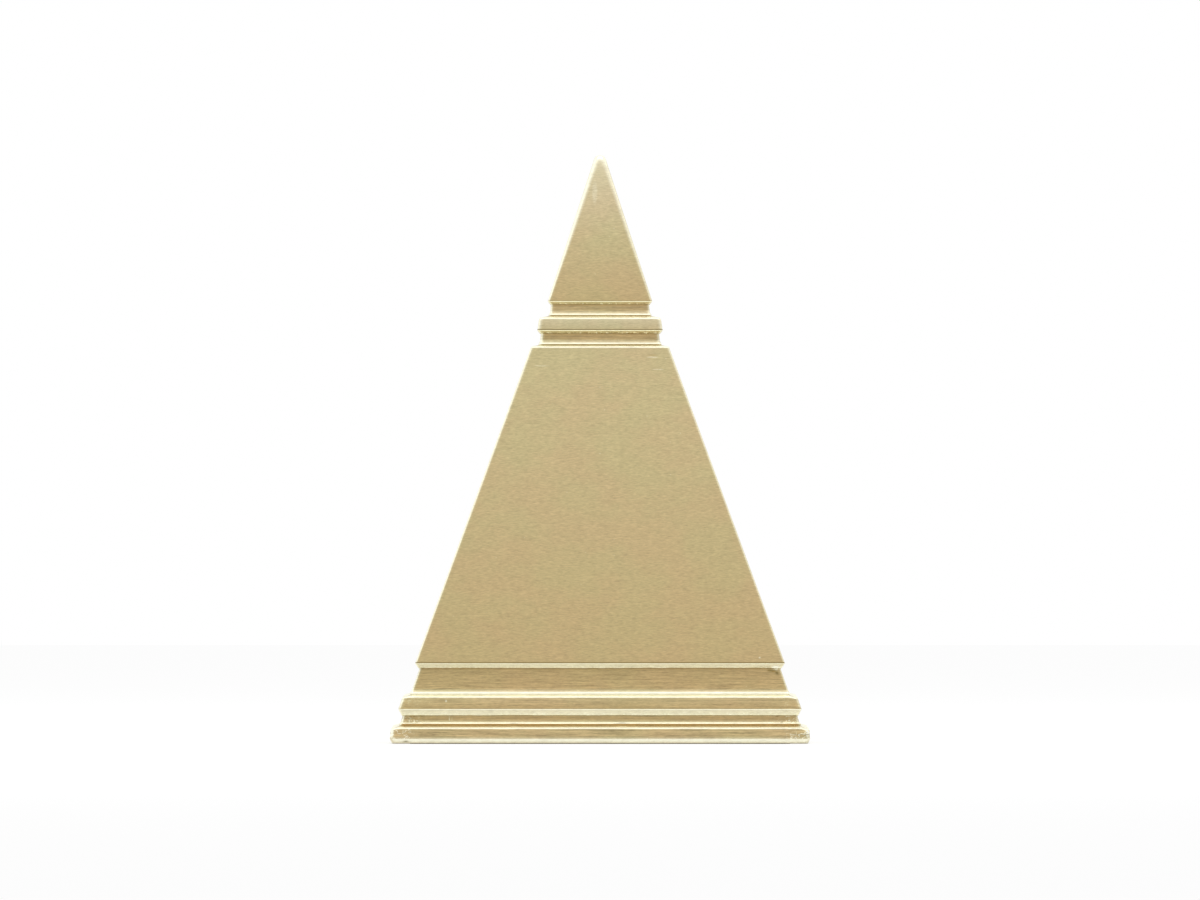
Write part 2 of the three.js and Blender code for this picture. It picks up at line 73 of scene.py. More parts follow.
class Wire:
    """A node's output socket, or a number, that takes part in Python expressions."""

    def __init__(self, tree: NodeTree, socket: object) -> None:
        """Keeps the socket and the tree that it belongs to."""
        self.tree = tree
        self.socket = socket

    def math(self, operation: str, *others: object) -> "Wire":
        """Adds a Math node whose first value is this wire.

        Args:
            operation: The node's operation.
            others: Its other values.

        Returns:
            The node's output.
        """
        node = self.tree.nodes.new("ShaderNodeMath")
        node.operation = operation
        for socket, value in zip(node.inputs, (self, *others)):
            plug(self.tree, socket, value)
        return Wire(self.tree, node.outputs[0])

    __add__ = __radd__ = operator("ADD")
    __mul__ = __rmul__ = operator("MULTIPLY")
    __sub__ = operator("SUBTRACT")
    __truediv__ = operator("DIVIDE")

    def __rsub__(self, other: float) -> "Wire":
        """A number less the wire."""
        return Wire(self.tree, float(other)).math("SUBTRACT", self)

    def floor(self) -> "Wire":
        """The whole part."""
        return self.math("FLOOR")

    def clamped(self) -> "Wire":
        """The value, kept between 0 and 1."""
        return self.math("MAXIMUM", 0.0).math("MINIMUM", 1.0)

    def rising(self, line: tuple[float, float]) -> "Wire":
        """A straight line over the value: the first number, and the second times the value."""
        return line[0] + line[1] * self

    def ramp(self, low: object, high: object, to_low: float = 0.0, to_high: float = 1.0) -> "Wire":
        """Carries low..high with soft ends over to to_low..to_high, clamped.

        Args:
            low: The value that becomes to_low.
            high: The value that becomes to_high.
            to_low: The result at low.
            to_high: The result at high.

        Returns:
            The mapped value.
        """
        node = self.tree.nodes.new("ShaderNodeMapRange")
        node.interpolation_type = "SMOOTHSTEP"
        for socket, value in zip(node.inputs, (self, low, high, to_low, to_high)):
            plug(self.tree, socket, value)
        return Wire(self.tree, node.outputs[0])


def plug(tree: NodeTree, socket: NodeSocket, value: object) -> None:
    """Links a wire to a socket, or sets the socket to a plain value.

    Args:
        tree: The tree that the socket belongs to.
        socket: The input that is fed.
        value: A wire, a number, a vector, a colour or a material.
    """
    if isinstance(value, Wire) and isinstance(value.socket, NodeSocket):
        tree.links.new(value.socket, socket)
    else:
        socket.default_value = value.socket if isinstance(value, Wire) else value


class Tree:
    """A node tree with short ways to add nodes to it."""

    def __init__(self, tree: NodeTree) -> None:
        """Keeps the tree and empties it."""
        self.tree = tree
        self.tree.nodes.clear()

    def node(self, kind: str, settings: dict | None = None, inputs: dict | None = None) -> Node:
        """Adds any node.

        Args:
            kind: The node's type.
            settings: Properties that are set first.
            inputs: Socket names or numbers, each with a value or a wire.

        Returns:
            The node.
        """
        made = self.tree.nodes.new(kind)
        for key, value in (settings or {}).items():
            setattr(made, key, value)
        for key, value in (inputs or {}).items():
            plug(self.tree, made.inputs[key], value)
        return made

    def out(self, made: Node, name: str | int = 0) -> Wire:
        """An output of a node as a wire."""
        return Wire(self.tree, made.outputs[name])

    def wire(self, kind: str, settings: dict | None = None, inputs: dict | None = None) -> Wire:
        """Adds any node, as node does, and gives its first output."""
        return self.out(self.node(kind, settings, inputs))

    def noise(self, where: Wire, scale: float, detail: float = 2.0, roughness: float = 0.5) -> Wire:
        """Smooth noise about 0.5, with features about 1 / scale across."""
        inputs = {"Vector": where, "Scale": scale, "Detail": detail, "Roughness": roughness}
        return self.out(self.node("ShaderNodeTexNoise", {}, inputs), "Fac")

    def xyz(self, x: object, y: object, z: object) -> Wire:
        """A vector of three values."""
        return self.wire("ShaderNodeCombineXYZ", {}, {0: x, 1: y, 2: z})

    def parts(self, vector: Wire) -> tuple[Wire, Wire, Wire]:
        """The three values of a vector."""
        node = self.node("ShaderNodeSeparateXYZ", {}, {0: vector})
        return tuple(self.out(node, i) for i in range(3))


@dataclass(frozen=True)
class Grain:
    """Smooth noise on a surface: how many features a millimetre holds, and how it is made up."""

    along: float  # on X
    across: float  # on Y
    up: float  # on Z
    detail: float = 2.0
    roughness: float = 0.5


SPREAD = (0.3, 0.7)  # nearly all of a grain's noise lies between these


def level(along: float, up: float, detail: float, roughness: float) -> Grain:
    """Noise that runs level in the same way round all four sides."""
    return Grain(along, along, up, detail, roughness)


def even(features: float, detail: float, roughness: float) -> Grain:
    """Noise that is alike in every direction."""
    return Grain(features, features, features, detail, roughness)


class Paint(Tree):
    """One material's node tree."""

    def __init__(self, name: str) -> None:
        """Makes an empty material with its output node.

        Args:
            name: The material's name.
        """
        self.material = bpy.data.materials.new(name)
        self.material.use_nodes = True
        super().__init__(self.material.node_tree)
        self.output = self.node("ShaderNodeOutputMaterial")

    def place(self, *scale: float) -> Wire:
        """The piece's own coordinates in millimetres.

        Args:
            scale: A factor for each axis, if there are any.

        Returns:
            The coordinates, times the factors.
        """
        where = self.out(self.node("ShaderNodeTexCoord"), "Object")
        inputs = {"Vector": where, "Scale": Vector(scale or (1.0, 1.0, 1.0)) / MM}
        return self.wire("ShaderNodeMapping", {}, inputs)

    def grain(self, kind: Grain) -> Wire:
        """Noise about 0.5 on the surface."""
        where = self.place(kind.along, kind.across, kind.up)
        return self.noise(where, 1.0, kind.detail, kind.roughness)

    def attribute(self, name: str) -> Wire:
        """A value that the mesh carries at each of its points."""
        return self.out(self.node("ShaderNodeAttribute", {"attribute_name": name}), "Fac")

    def mix(self, factor: object, first: object, second: object) -> Wire:
        """A colour between two colours."""
        made = self.node("ShaderNodeMix", {"data_type": "RGBA"}, {0: factor, 6: first, 7: second})
        return self.out(made, 2)

    def lit(self, base: Wire, factor: Wire) -> Wire:
        """A colour made lighter or darker by a factor."""
        return self.wire("ShaderNodeVectorMath", {"operation": "SCALE"}, {0: base, "Scale": factor})

    def bump(self, height: Wire, strength: float, distance: float) -> Wire:
        """A normal that is tilted by a height, whose steps are up to distance millimetres."""
        inputs = {"Strength": strength, "Distance": distance * MM, "Height": height}
        return self.wire("ShaderNodeBump", {}, inputs)

    def finish(self, surface: Node) -> Material:
        """Joins the surface shader to the output and returns the material."""
        self.tree.links.new(surface.outputs[0], self.output.inputs["Surface"])
        return self.material

    def metal(self, base: Wire, roughness: Wire, normal: Wire) -> Material:
        """Finishes the material as bare metal."""
        inputs = {"Base Color": base, "Metallic": 1.0, "Roughness": roughness, "Normal": normal}
        return self.finish(self.node("ShaderNodeBsdfPrincipled", {}, inputs))


def colour(red: float, green: float, blue: float) -> tuple[float, float, float, float]:
    """A linear colour with full alpha."""
    return (red, green, blue, 1.0)


@dataclass(frozen=True)
class Smudge:
    """A soft streak on the front of a casting, in millimetres: pale, or dark below zero."""

    x: float
    z: float
    width: float
    height: float
    strength: float


@dataclass(frozen=True)
class BrushedBrass:
    """Pale gold cast brass, brushed level on every face.

    The mesh says how each row is worn and lit: its tone runs from -1, a deep gold of tarnish and
    painted shade, over 0, as brushed, to +1, nearly white from rubbing and painted highlights, and
    its painted shade from 0 to 1. Brush marks are noise that changes fast along Z only, so the same
    pattern runs level round all four sides.
    """

    name: str = "level_brushed_brass"
    warm: tuple = colour(0.562, 0.450, 0.252)
    olive: tuple = colour(0.538, 0.462, 0.252)
    # Nearly white for wear and painted highlight, deep gold for tarnish and painted shade, then the painted
    # shade's dark olive.
    rubbed_and_highlight: tuple = colour(0.990, 0.962, 0.765)
    tarnish_and_shade: tuple = colour(0.420, 0.255, 0.085)
    painted_shade_colour: tuple = colour(0.230, 0.180, 0.075)
    roughness: float = 0.38
    stroke_rough: float = 0.08  # how far the brush marks change it
    cloud_rough: float = 0.10
    strokes: Grain = level(0.09, 2.6, 3.0, 0.65)
    hairs: Grain = level(0.7, 4.6, 2.0, 0.6)
    cloud: Grain = level(0.06, 0.08, 4.0, 0.55)
    mottle: Grain = level(0.4, 0.8, 3.0, 0.6)
    beading: Grain = even(1.3, 1.0, 0.5)
    winding: Grain = level(0.5, 0.8, 2.0, 0.6)
    specks: float = 0.7  # places in a millimetre where a bright speck may lie
    speck_chance: tuple[float, float] = (0.90, 1.0)  # a place's lot, from no speck to a full one
    speck_edge: tuple[float, float] = (0.05, 0.16)  # where a speck fades, as shares of a place
    mottled: tuple[float, float] = (0.85, 0.3)  # the tone's share everywhere, and with the mottle
    beaded: tuple[float, float] = (0.53, 0.64)  # the noise at the edge of a bead and in it
    crease_width: float = 0.05  # in the winding noise
    creased: tuple[float, float] = (0.38, 0.55)  # the mottle where creases begin and are full
    clouded: tuple[float, float] = (0.35, 0.65)  # the cloud where the metal is warm and olive
    bead_shine: float = 0.85  # what a bead adds to the tone; the next two are a speck's and a crease's
    speck_shine: float = 0.4
    crease_shine: float = 1.1
    shade_by_hairs: tuple[float, float] = (0.7, 0.6)  # the painted shade's share everywhere, and with the hairs
    hair_shade: float = 0.7  # how far the hairs lighten and darken the colour
    hair_lost: float = 0.45  # how much of that is gone where the metal is bright
    mottle_shade: float = 0.22
    stroke_shade: tuple[float, float] = (0.1, 0.9)  # of the strokes everywhere, and where brushed
    stroke_depth: float = 0.55  # a share in the surface's height, as the next four are
    hair_depth: float = 0.35
    mottle_depth: float = 0.2
    bead_depth: float = 0.6
    speck_depth: float = 0.5
    relief: tuple[float, float] = (0.3, 0.06)  # how strongly and how deeply the marks are cut
    smudge_grain: tuple[float, float] = (0.3, 1.7)  # a smudge's strength between the hairs and on them
    smudges: tuple[Smudge, ...] = (
        Smudge(-1.6, 167.0, 1.0, 4.5, 0.16),
        Smudge(15.8, 117.55, 2.2, 0.25, -0.35),
        Smudge(15.9, 116.9, 2.2, 0.25, 0.3),
        Smudge(17.7, 113.2, 2.4, 0.25, 0.2),
        Smudge(-17.8, 114.3, 3.0, 0.25, 0.2),
        Smudge(48.3, 26.1, 0.45, 0.45, 0.7),
        Smudge(-46.5, 13.0, 0.45, 0.45, 0.7),
        Smudge(-45.5, 7.75, 0.24, 0.95, 0.6),
        Smudge(-44.7, 7.7, 0.2, 0.85, 0.45),
        # These three dark streaks paint the shadow under the burr on the body.
        Smudge(51.3, 22.2, 0.9, 0.3, -1.2),
        Smudge(52.5, 21.95, 0.9, 0.32, -1.6),
        Smudge(53.4, 21.6, 0.5, 0.32, -1.4),
    )

    def smudged(self, paint: Paint, texture: Wire) -> Wire:
        """Draws the streaks on the front.

        Args:
            paint: The material's tree.
            texture: Noise that breaks the streaks up.

        Returns:
            How strongly they show at a point.
        """
        x, y, z = paint.parts(paint.place())
        front = y.ramp(-0.5, 0.5, 1.0, 0.0)
        total = Wire(paint.tree, 0.0)
        for smudge in self.smudges:
            across = (x - smudge.x) / smudge.width
            up = (z - smudge.z) / smudge.height
            reach = across * across + up * up
            total = total + reach.ramp(0.0, 1.0, smudge.strength, 0.0)
        return total * front * texture.ramp(*SPREAD, *self.smudge_grain)

    def speckled(self, paint: Paint) -> Wire:
        """Scatters small bright specks, far apart.

        Args:
            paint: The material's tree.

        Returns:
            How strongly a speck shows at a point, from 0 to 1.
        """
        inputs = {"Vector": paint.place(self.specks, self.specks, self.specks), "Scale": 1.0}
        cells = paint.node("ShaderNodeTexVoronoi", {}, inputs)
        chance = paint.parts(paint.out(cells, "Color"))[0].ramp(*self.speck_chance)
        return paint.out(cells, "Distance").ramp(*self.speck_edge, 1.0, 0.0) * chance

    def make(self) -> Material:
        """Draws the material.

        Returns:
            The material.
        """
        paint = Paint(self.name)
        strokes = paint.grain(self.strokes)
        hairs = paint.grain(self.hairs)
        cloud = paint.grain(self.cloud)
        mottle = paint.grain(self.mottle)
        beading = paint.grain(self.beading).ramp(*self.beaded)
        winding = (paint.grain(self.winding) - 0.5).math("ABSOLUTE")
        speck = self.speckled(paint)
        beads = paint.attribute("beads")
        creases = winding.ramp(0.0, self.crease_width, 1.0, 0.0) * mottle.ramp(*self.creased)
        # The tone: wear with painted highlights and shade, plus glints of beads, smudges, specks and
        # creases.
        wear_and_light = paint.attribute("tone") * mottle.rising(self.mottled) + beads * (self.bead_shine * beading)
        wear_and_light = wear_and_light + self.smudged(paint, hairs) + self.speck_shine * speck
        wear_and_light = wear_and_light + self.crease_shine * (paint.attribute("crinkle") * creases)
        bright = wear_and_light.clamped()
        base = paint.mix(cloud.ramp(*self.clouded), self.warm, self.olive)
        base = paint.mix((0.0 - wear_and_light).clamped(), base, self.tarnish_and_shade)
        base = paint.mix(bright, base, self.rubbed_and_highlight)
        # Paints the painted shade in dark olive, broken up by the hairs.
        base = paint.mix(paint.attribute("grime") * hairs.rising(self.shade_by_hairs), base, self.painted_shade_colour)
        grain = (self.hair_shade - self.hair_lost * bright) * (hairs - 0.5)
        grain = grain + self.mottle_shade * (mottle - 0.5)
        grain = grain + paint.attribute("brushed").rising(self.stroke_shade) * (strokes - 0.5)
        rough = self.roughness + self.stroke_rough * (strokes - 0.5) + self.cloud_rough * (cloud - 0.5)
        height = self.stroke_depth * strokes + self.hair_depth * hairs + self.mottle_depth * mottle
        height = height + self.bead_depth * beads * beading + self.speck_depth * speck
        return paint.metal(paint.lit(base, 1.0 + grain), rough, paint.bump(height, *self.relief))


@dataclass(frozen=True)
class PlainMetal:
    """Metal that nobody polished: marks of the sand, a tool or the rolls, over clouds of stain."""

    name: str
    light: tuple
    dark: tuple
    roughness: float
    marks: Grain = level(0.15, 4.0, 2.0, 0.5)
    stain: Grain = even(0.9, 4.0, 0.6)
    marked: float = 0.3  # the marks' share in the colour
    uneven: tuple[float, float] = (0.0, 0.15)  # how marks and stain change the roughness
    relief: tuple[float, float] = (0.3, 0.03)  # how strongly and how deeply the marks are cut

    def make(self) -> Material:
        """Draws the material.

        Returns:
            The material.
        """
        paint = Paint(self.name)
        marks = paint.grain(self.marks)
        stain = paint.grain(self.stain)
        share = self.marked * marks + (1.0 - self.marked) * stain.ramp(*SPREAD)
        by_marks, by_stain = self.uneven
        rough = self.roughness + by_marks * (marks - 0.5) + by_stain * (stain - 0.5)
        base = paint.mix(share, self.dark, self.light)
        return paint.metal(base, rough, paint.bump(marks, *self.relief))


SAND_CAST = PlainMetal(
    "sand_cast_brass", colour(0.50, 0.36, 0.16), colour(0.30, 0.20, 0.08), 0.55,
    marks=even(2.2, 4.0, 0.7), stain=even(0.12, 3.0, 0.6), marked=0.5,
    uneven=(0.2, 0.0), relief=(0.7, 0.15),
)
ROLLED = PlainMetal(
    "rolled_brass", colour(0.62, 0.46, 0.21), colour(0.50, 0.35, 0.14), 0.32,
    marks=Grain(0.03, 2.5, 1.0, 3.0, 0.6), stain=even(0.06, 3.0, 0.6), marked=0.4,
)
ZINC = PlainMetal("zinc_plate", colour(0.50, 0.51, 0.52), colour(0.34, 0.35, 0.36), 0.34)
BLUED = PlainMetal("blued_steel", colour(0.09, 0.095, 0.11), colour(0.05, 0.05, 0.06), 0.35)
TURNED = PlainMetal("turned_brass", colour(0.66, 0.50, 0.23), colour(0.55, 0.40, 0.17), 0.26)


@dataclass(frozen=True)
class PressedFelt:
    """Dark pressed wool felt, with a fuzzy, slightly uneven face."""

    name: str = "pressed_felt"
    light: tuple = colour(0.030, 0.026, 0.022)
    dark: tuple = colour(0.011, 0.010, 0.009)
    roughness: float = 0.95
    sheen: float = 0.3
    fibres: Grain = even(2.6, 6.0, 0.75)
    lumps: Grain = even(0.35, 3.0, 0.6)
    fibrous: float = 0.6  # the fibres' share in the colour
    relief: tuple[float, float] = (0.8, 0.2)

    def make(self) -> Material:
        """Draws the material.

        Returns:
            The material.
        """
        paint = Paint(self.name)
        fibres = paint.grain(self.fibres)
        lumps = paint.grain(self.lumps)
        share = self.fibrous * fibres.ramp(*SPREAD) + (1.0 - self.fibrous) * lumps
        inputs = {
            "Base Color": paint.mix(share, self.dark, self.light),
            "Roughness": self.roughness,
            "Sheen Weight": self.sheen,
            "Normal": paint.bump(fibres + lumps, *self.relief),
        }
        return paint.finish(paint.node("ShaderNodeBsdfPrincipled", {}, inputs))


@dataclass(frozen=True)
class Row:
    """One level of a piece that is turned round a square, and the wear and painted light of the metal
    there.
    """

    half: float  # half the width across the flats
    height: float
    corner: float  # radius of the four corners
    ease: float = 0.0  # radius that rounds the outline here
    step: float = 8.0  # rows up to the next bend are no further apart
    # tone: from tarnish and painted shade at -1 to rubbing and painted highlight at +1
    tone: float = 0.0
    tone_turn: float = 0.0  # how the tone changes over the rounding of this bend
    brushed: float = 0.0  # how strongly the brush marks show
    grime: float = 0.0
    hips: float = 0.0  # the tone that the corners tend to: rubbing and a painted highlight
    beads: float = 0.0
    crinkle: float = 0.0
    sway: float = 0.0  # how far the row may sink in, unevenly
    sag: float = 0.0  # how far it may wander up or down
    droop: float = 0.0  # how far it falls at the corners

    def towards(self, other: "Row", distance: float, **changes: float) -> "Row":
        """A row on the straight line from this one to another.

        Args:
            other: The row that the line leads to.
            distance: How far along the line, in millimetres.
            changes: Values that differ from those in between.

        Returns:
            The new row.
        """
        length = math.dist((self.half, self.height), (other.half, other.height))
        share = distance / length
        values = [a + (b - a) * share for a, b in zip(astuple(self), astuple(other))]
        return replace(Row(*values), **{"ease": 0.0, "tone_turn": 0.0, "step": self.step, **changes})


ROUNDING_STEPS = 4
LONGEST_REACH = 0.45  # of the line to the next bend
SUPPORT = 0.12  # from the end of a rounding to the row that keeps the line flat


def rounded(before: Row, at: Row, after: Row) -> list[Row]:
    """Rounds one bend of an outline.

    Args:
        before: The bend before it.
        at: The bend to be rounded, by its ease.
        after: The bend after it.

    Returns:
        The rows of the rounding, with a row close to each end that keeps the shading flat there.
    """
    a, b, c = (Vector((row.half, row.height)) for row in (before, at, after))
    to_a = (a - b).normalized()
    to_c = (c - b).normalized()
    half_angle = to_a.angle(to_c) / 2
    to_ends = [(a - b).length, (c - b).length]
    reach = min(at.ease / math.tan(half_angle), *(length * LONGEST_REACH for length in to_ends))
    supports = [min(reach + SUPPORT, (reach + length) / 2) for length in to_ends]
    radius = reach * math.tan(half_angle)
    centre = b + (to_a + to_c).normalized() * (radius / math.sin(half_angle))
    spoke = b + to_a * reach - centre
    turn = spoke.angle_signed(b + to_c * reach - centre)
    rows = [at.towards(before, supports[0], tone=at.tone)]
    for i in range(ROUNDING_STEPS + 1):
        share = turn * i / ROUNDING_STEPS
        x = spoke.x * math.cos(share) + spoke.y * math.sin(share)
        z = spoke.y * math.cos(share) - spoke.x * math.sin(share)
        tone = at.tone + at.tone_turn * i / ROUNDING_STEPS
        place = {"half": centre.x + x, "height": centre.y + z}
        rows.append(replace(at, **place, ease=0.0, step=SUPPORT * 4, tone=tone, tone_turn=0.0))
    rows.append(at.towards(after, supports[1], tone=at.tone + at.tone_turn))
    return rows


def traced(bends: Sequence[Row], closed: bool) -> list[Row]:
    """Turns the bends of an outline into all its rows.

    Args:
        bends: The outline, up the outside and down the inside.
        closed: Whether it comes back to its first row; otherwise both its ends lie on the axis.

    Returns:
        The rows.
    """
    corners: list[Row] = []
    for i, bend in enumerate(bends):
        if bend.ease > 0:
            corners += rounded(bends[i - 1], bend, bends[(i + 1) % len(bends)])
        else:
            corners.append(bend)
    if closed:
        corners.append(corners[0])
    rows = [corners[0]]
    for start, end in zip(corners, corners[1:]):
        length = math.dist((start.half, start.height), (end.half, end.height))
        count = max(1, math.ceil(length / start.step))
        rows += [start.towards(end, length * i / count) for i in range(1, count)]
        rows.append(end)
    return rows[:-1] if closed else rows


class Mould(Tree):
    """The node tree that carries an outline round a square, as a lathe carries one round a circle.

    Its geometry is the outline: a point for each row, whose X is half the width, Y the radius of
    the corners and Z the height. Rows of a grid are pulled onto it, and fixed noise makes them as
    uneven as hand filing does.
    """

    WHOLE = ("Rows", "Outline points", "Side columns", "Corner columns")
    WEAR_AND_LIGHT = ("tone", "brushed", "grime", "hips", "beads", "crinkle", "sway", "sag", "droop")
    KEPT = ("tone", "brushed", "grime", "beads", "crinkle")
    CROWDING = 0.55  # 0 spaces the columns of a side evenly, 1 crowds them into its ends
    DROOP_REACH = 3.2 * MM  # from the corner, as the next two are
    CRINKLE_REACH = (2.0 * MM, 9.0 * MM)
    HIP_REACH = 0.5 * MM
    # The hips' tone is rubbing and a painted highlight along the corners.
    FLAT_SHINE = 0.25  # the hips' share in the tone where the flat ends
    ROUND_SHINE = 0.75  # what is added to it in the middle of the hip
    HIP_RISE = 0.9  # of a sine that is 1 in the middle of the hip; past this the shine is full
    HIP_RUB_AND_LIGHT = (1.0, 0.6)  # the left hips' and the right hips' share of the rubbing and painted highlight
    MIDDLE = 2.0 * MM  # to either side of it, one share passes into the other
    LEAN = 0.362  # a row that droops moves out by this share of its fall
    LOPSIDED = 6.0  # rows droop more on the right, by this much for each metre
    WAVES = 0.06 / MM  # features in a metre
    WANDERING = 0.085 / MM
    BEADS = 1.5 / MM
    CREASES = 0.8 / MM
    BEADED = (0.4, 0.7)  # the noise between the beads and on top of them
    CREASED = (0.35, 0.65)
    BEAD_DEPTH = 0.07 * MM
    BEAD_LIFT = 0.12 * MM
    CREASE_DEPTH = 0.22 * MM
    MERGE = 2e-6

    def __init__(self) -> None:
        """Builds the tree."""
        super().__init__(bpy.data.node_groups.new("square_turning", "GeometryNodeTree"))
        face = self.tree.interface
        face.new_socket("Outline", in_out="INPUT", socket_type="NodeSocketGeometry")
        for name in self.WHOLE:
            face.new_socket(name, in_out="INPUT", socket_type="NodeSocketInt")
        face.new_socket("Finish", in_out="INPUT", socket_type="NodeSocketMaterial")
        face.new_socket("Casting", in_out="OUTPUT", socket_type="NodeSocketGeometry")
        self.entry = self.node("NodeGroupInput")
        rows, points, side, corner = (self.out(self.entry, name) for name in self.WHOLE)
        index = self.wire("GeometryNodeInputIndex")
        column = ((index + 0.5) / rows).floor()
        self.point = (index - column * rows).math("MODULO", points)
        wear_and_light = {name: self.sampled(name) for name in self.WEAR_AND_LIGHT}
        self.shape(column, side, corner, wear_and_light)
        columns = 4 * (side + corner) + 1
        grid = self.node("GeometryNodeMeshGrid", {}, {"Vertices X": columns, "Vertices Y": rows})
        made = self.out(grid, "Mesh")
        for name in self.KEPT:
            inputs = {"Geometry": made, "Name": name, "Value": wear_and_light[name]}
            made = self.wire("GeometryNodeStoreNamedAttribute", {"data_type": "FLOAT"}, inputs)
        for kind, inputs in (
            ("GeometryNodeSetPosition", {"Position": self.position}),
            ("GeometryNodeMergeByDistance", {"Distance": self.MERGE}),
            ("GeometryNodeSetShadeSmooth", {}),
            ("GeometryNodeRealizeInstances", {}),
            ("GeometryNodeSetMaterial", {"Material": self.out(self.entry, "Finish")}),
        ):
            made = self.wire(kind, {}, {0: made, **inputs})
        self.node("NodeGroupOutput", {}, {0: made})

    def sampled(self, name: str) -> Wire:
        """The outline's value of an attribute in a grid point's row."""
        value = self.wire("GeometryNodeInputNamedAttribute", {"data_type": "FLOAT"}, {"Name": name})
        return self.in_row("FLOAT", value)

    def in_row(self, kind: str, value: Wire) -> Wire:
        """A value of the outline, read in a grid point's row."""
        inputs = {0: self.out(self.entry), 1: value, "Index": self.point}
        return self.wire("GeometryNodeSampleIndex", {"data_type": kind}, inputs)

    def turned(self, across: Wire, outward: Wire, height: Wire, angle: Wire) -> Wire:
        """A point of the front side, turned round to its own side."""
        inputs = {"Vector": self.xyz(across, 0.0 - outward, height), "Axis": (0, 0, 1), "Angle": angle}
        return self.wire("ShaderNodeVectorRotate", {}, inputs)

    def shape(self, column: Wire, side: Wire, corner: Wire, wear_and_light: dict[str, Wire]) -> None:
        """Works out where each grid point goes.

        Args:
            column: The point's column, from 0.
            side: Columns along a side.
            corner: Columns round a corner.
            wear_and_light: The row's attributes, painted light and shade among them; the tone and the
                crinkles are narrowed down here.
        """
        outline = self.in_row("FLOAT_VECTOR", self.wire("GeometryNodeInputPosition"))
        half, radius, height = self.parts(outline)
        quarter = ((column + 0.5) / (side + corner)).floor()
        place = column - quarter * (side + corner)
        share = (place / side).math("MINIMUM", 1.0)
        share = share - self.CROWDING / math.tau * (share * math.tau).math("SINE")
        bend = (place - side).math("MAXIMUM", 0.0) / corner * QUARTER_TURN
        angle = quarter * QUARTER_TURN
        flat = half - radius
        along = (2.0 * share - 1.0) * flat
        sine = bend.math("SINE")
        cosine = bend.math("COSINE")
        across = along + radius * sine
        outward = flat + radius * cosine
        to_hip = flat - along.math("ABSOLUTE")
        before = self.turned(across, outward, height, angle)
        x, y, z = self.parts(before)
        slow = self.noise(before, self.WAVES)
        slower = self.noise(self.xyz(x, y, z * 3.0 + 1.0), self.WANDERING, 3.0, 0.6)
        beading = self.noise(before, self.BEADS, 1.0).ramp(*self.BEADED)
        crease = self.noise(self.xyz(x, y, z * 2.0), self.CREASES, 2.0, 0.6)
        wear_and_light["crinkle"] = wear_and_light["crinkle"] * to_hip.ramp(*self.CRINKLE_REACH, 1.0, 0.0)
        round_hip = (bend * 2.0).math("SINE").ramp(0.0, self.HIP_RISE, 0.0, self.ROUND_SHINE)
        rub_and_light = x.ramp(0.0 - self.MIDDLE, self.MIDDLE, *self.HIP_RUB_AND_LIGHT)
        along_hip = (to_hip.ramp(0.0, self.HIP_REACH, self.FLAT_SHINE, 0.0) + round_hip) * rub_and_light
        wear_and_light["tone"] = wear_and_light["tone"] + along_hip * (wear_and_light["hips"] - wear_and_light["tone"])
        sunk = wear_and_light["sway"] * slow + wear_and_light["beads"] * (1.0 - beading) * self.BEAD_DEPTH
        sunk = sunk + wear_and_light["crinkle"] * crease.ramp(*self.CREASED) * self.CREASE_DEPTH
        fallen = to_hip.ramp(0.0 - self.DROOP_REACH, self.DROOP_REACH, 2.0, 0.0)
        fallen = (fallen * fallen) * wear_and_light["droop"] * (1.0 + self.LOPSIDED * x)
        lifted = wear_and_light["sag"] * (slower * 2.0 - 1.0) - fallen
        lifted = lifted + wear_and_light["beads"] * (0.5 - beading) * self.BEAD_LIFT
        outward = outward - cosine * sunk + cosine * fallen * self.LEAN
        across = across - sine * sunk + sine * fallen * self.LEAN
        self.position = self.turned(across, outward, height + lifted, angle)

    def cast(
        self,
        name: str,
        bends: Sequence[Row],
        closed: bool,
        columns: tuple[int, int],
        finish: Material,
    ) -> Object:
        """Makes one piece.

        Args:
            name: The piece's name.
            bends: Its outline.
            closed: Whether the outline is a closed loop.
            columns: Columns along a side and round a corner.
            finish: Its material.

        Returns:
            The piece as a plain mesh, with its values of KEPT at each point.
        """
        rows = traced(bends, closed)
        outline = bpy.data.meshes.new(name + "_outline")
        outline.from_pydata([Vector((r.half, min(r.corner, r.half), r.height)) * MM for r in rows], [], [])
        for wear in self.WEAR_AND_LIGHT:
            scale = MM if wear in ("sway", "sag", "droop") else 1.0
            values = [getattr(row, wear) * scale for row in rows]
            outline.attributes.new(wear, "FLOAT", "POINT").data.foreach_set("value", values)
        piece = placed(name, outline)
        turning = piece.modifiers.new("square_turning", "NODES")
        turning.node_group = self.tree
        settings = dict(zip(self.WHOLE, (len(rows) + closed, len(rows), *columns)))
        settings["Finish"] = finish
        for socket in self.tree.interface.items_tree:
            if socket.in_out == "INPUT" and socket.name in settings:
                turning[socket.identifier] = settings[socket.name]
        evaluated = piece.evaluated_get(bpy.context.evaluated_depsgraph_get())
        made = bpy.data.meshes.new_from_object(evaluated)
        piece.modifiers.clear()
        piece.data = made
        made.name = name
        while len(made.materials) > 1:
            made.materials.pop(index=0)
        made.polygons.foreach_set("material_index", [0] * len(made.polygons))
        bpy.data.meshes.remove(outline)
        return piece


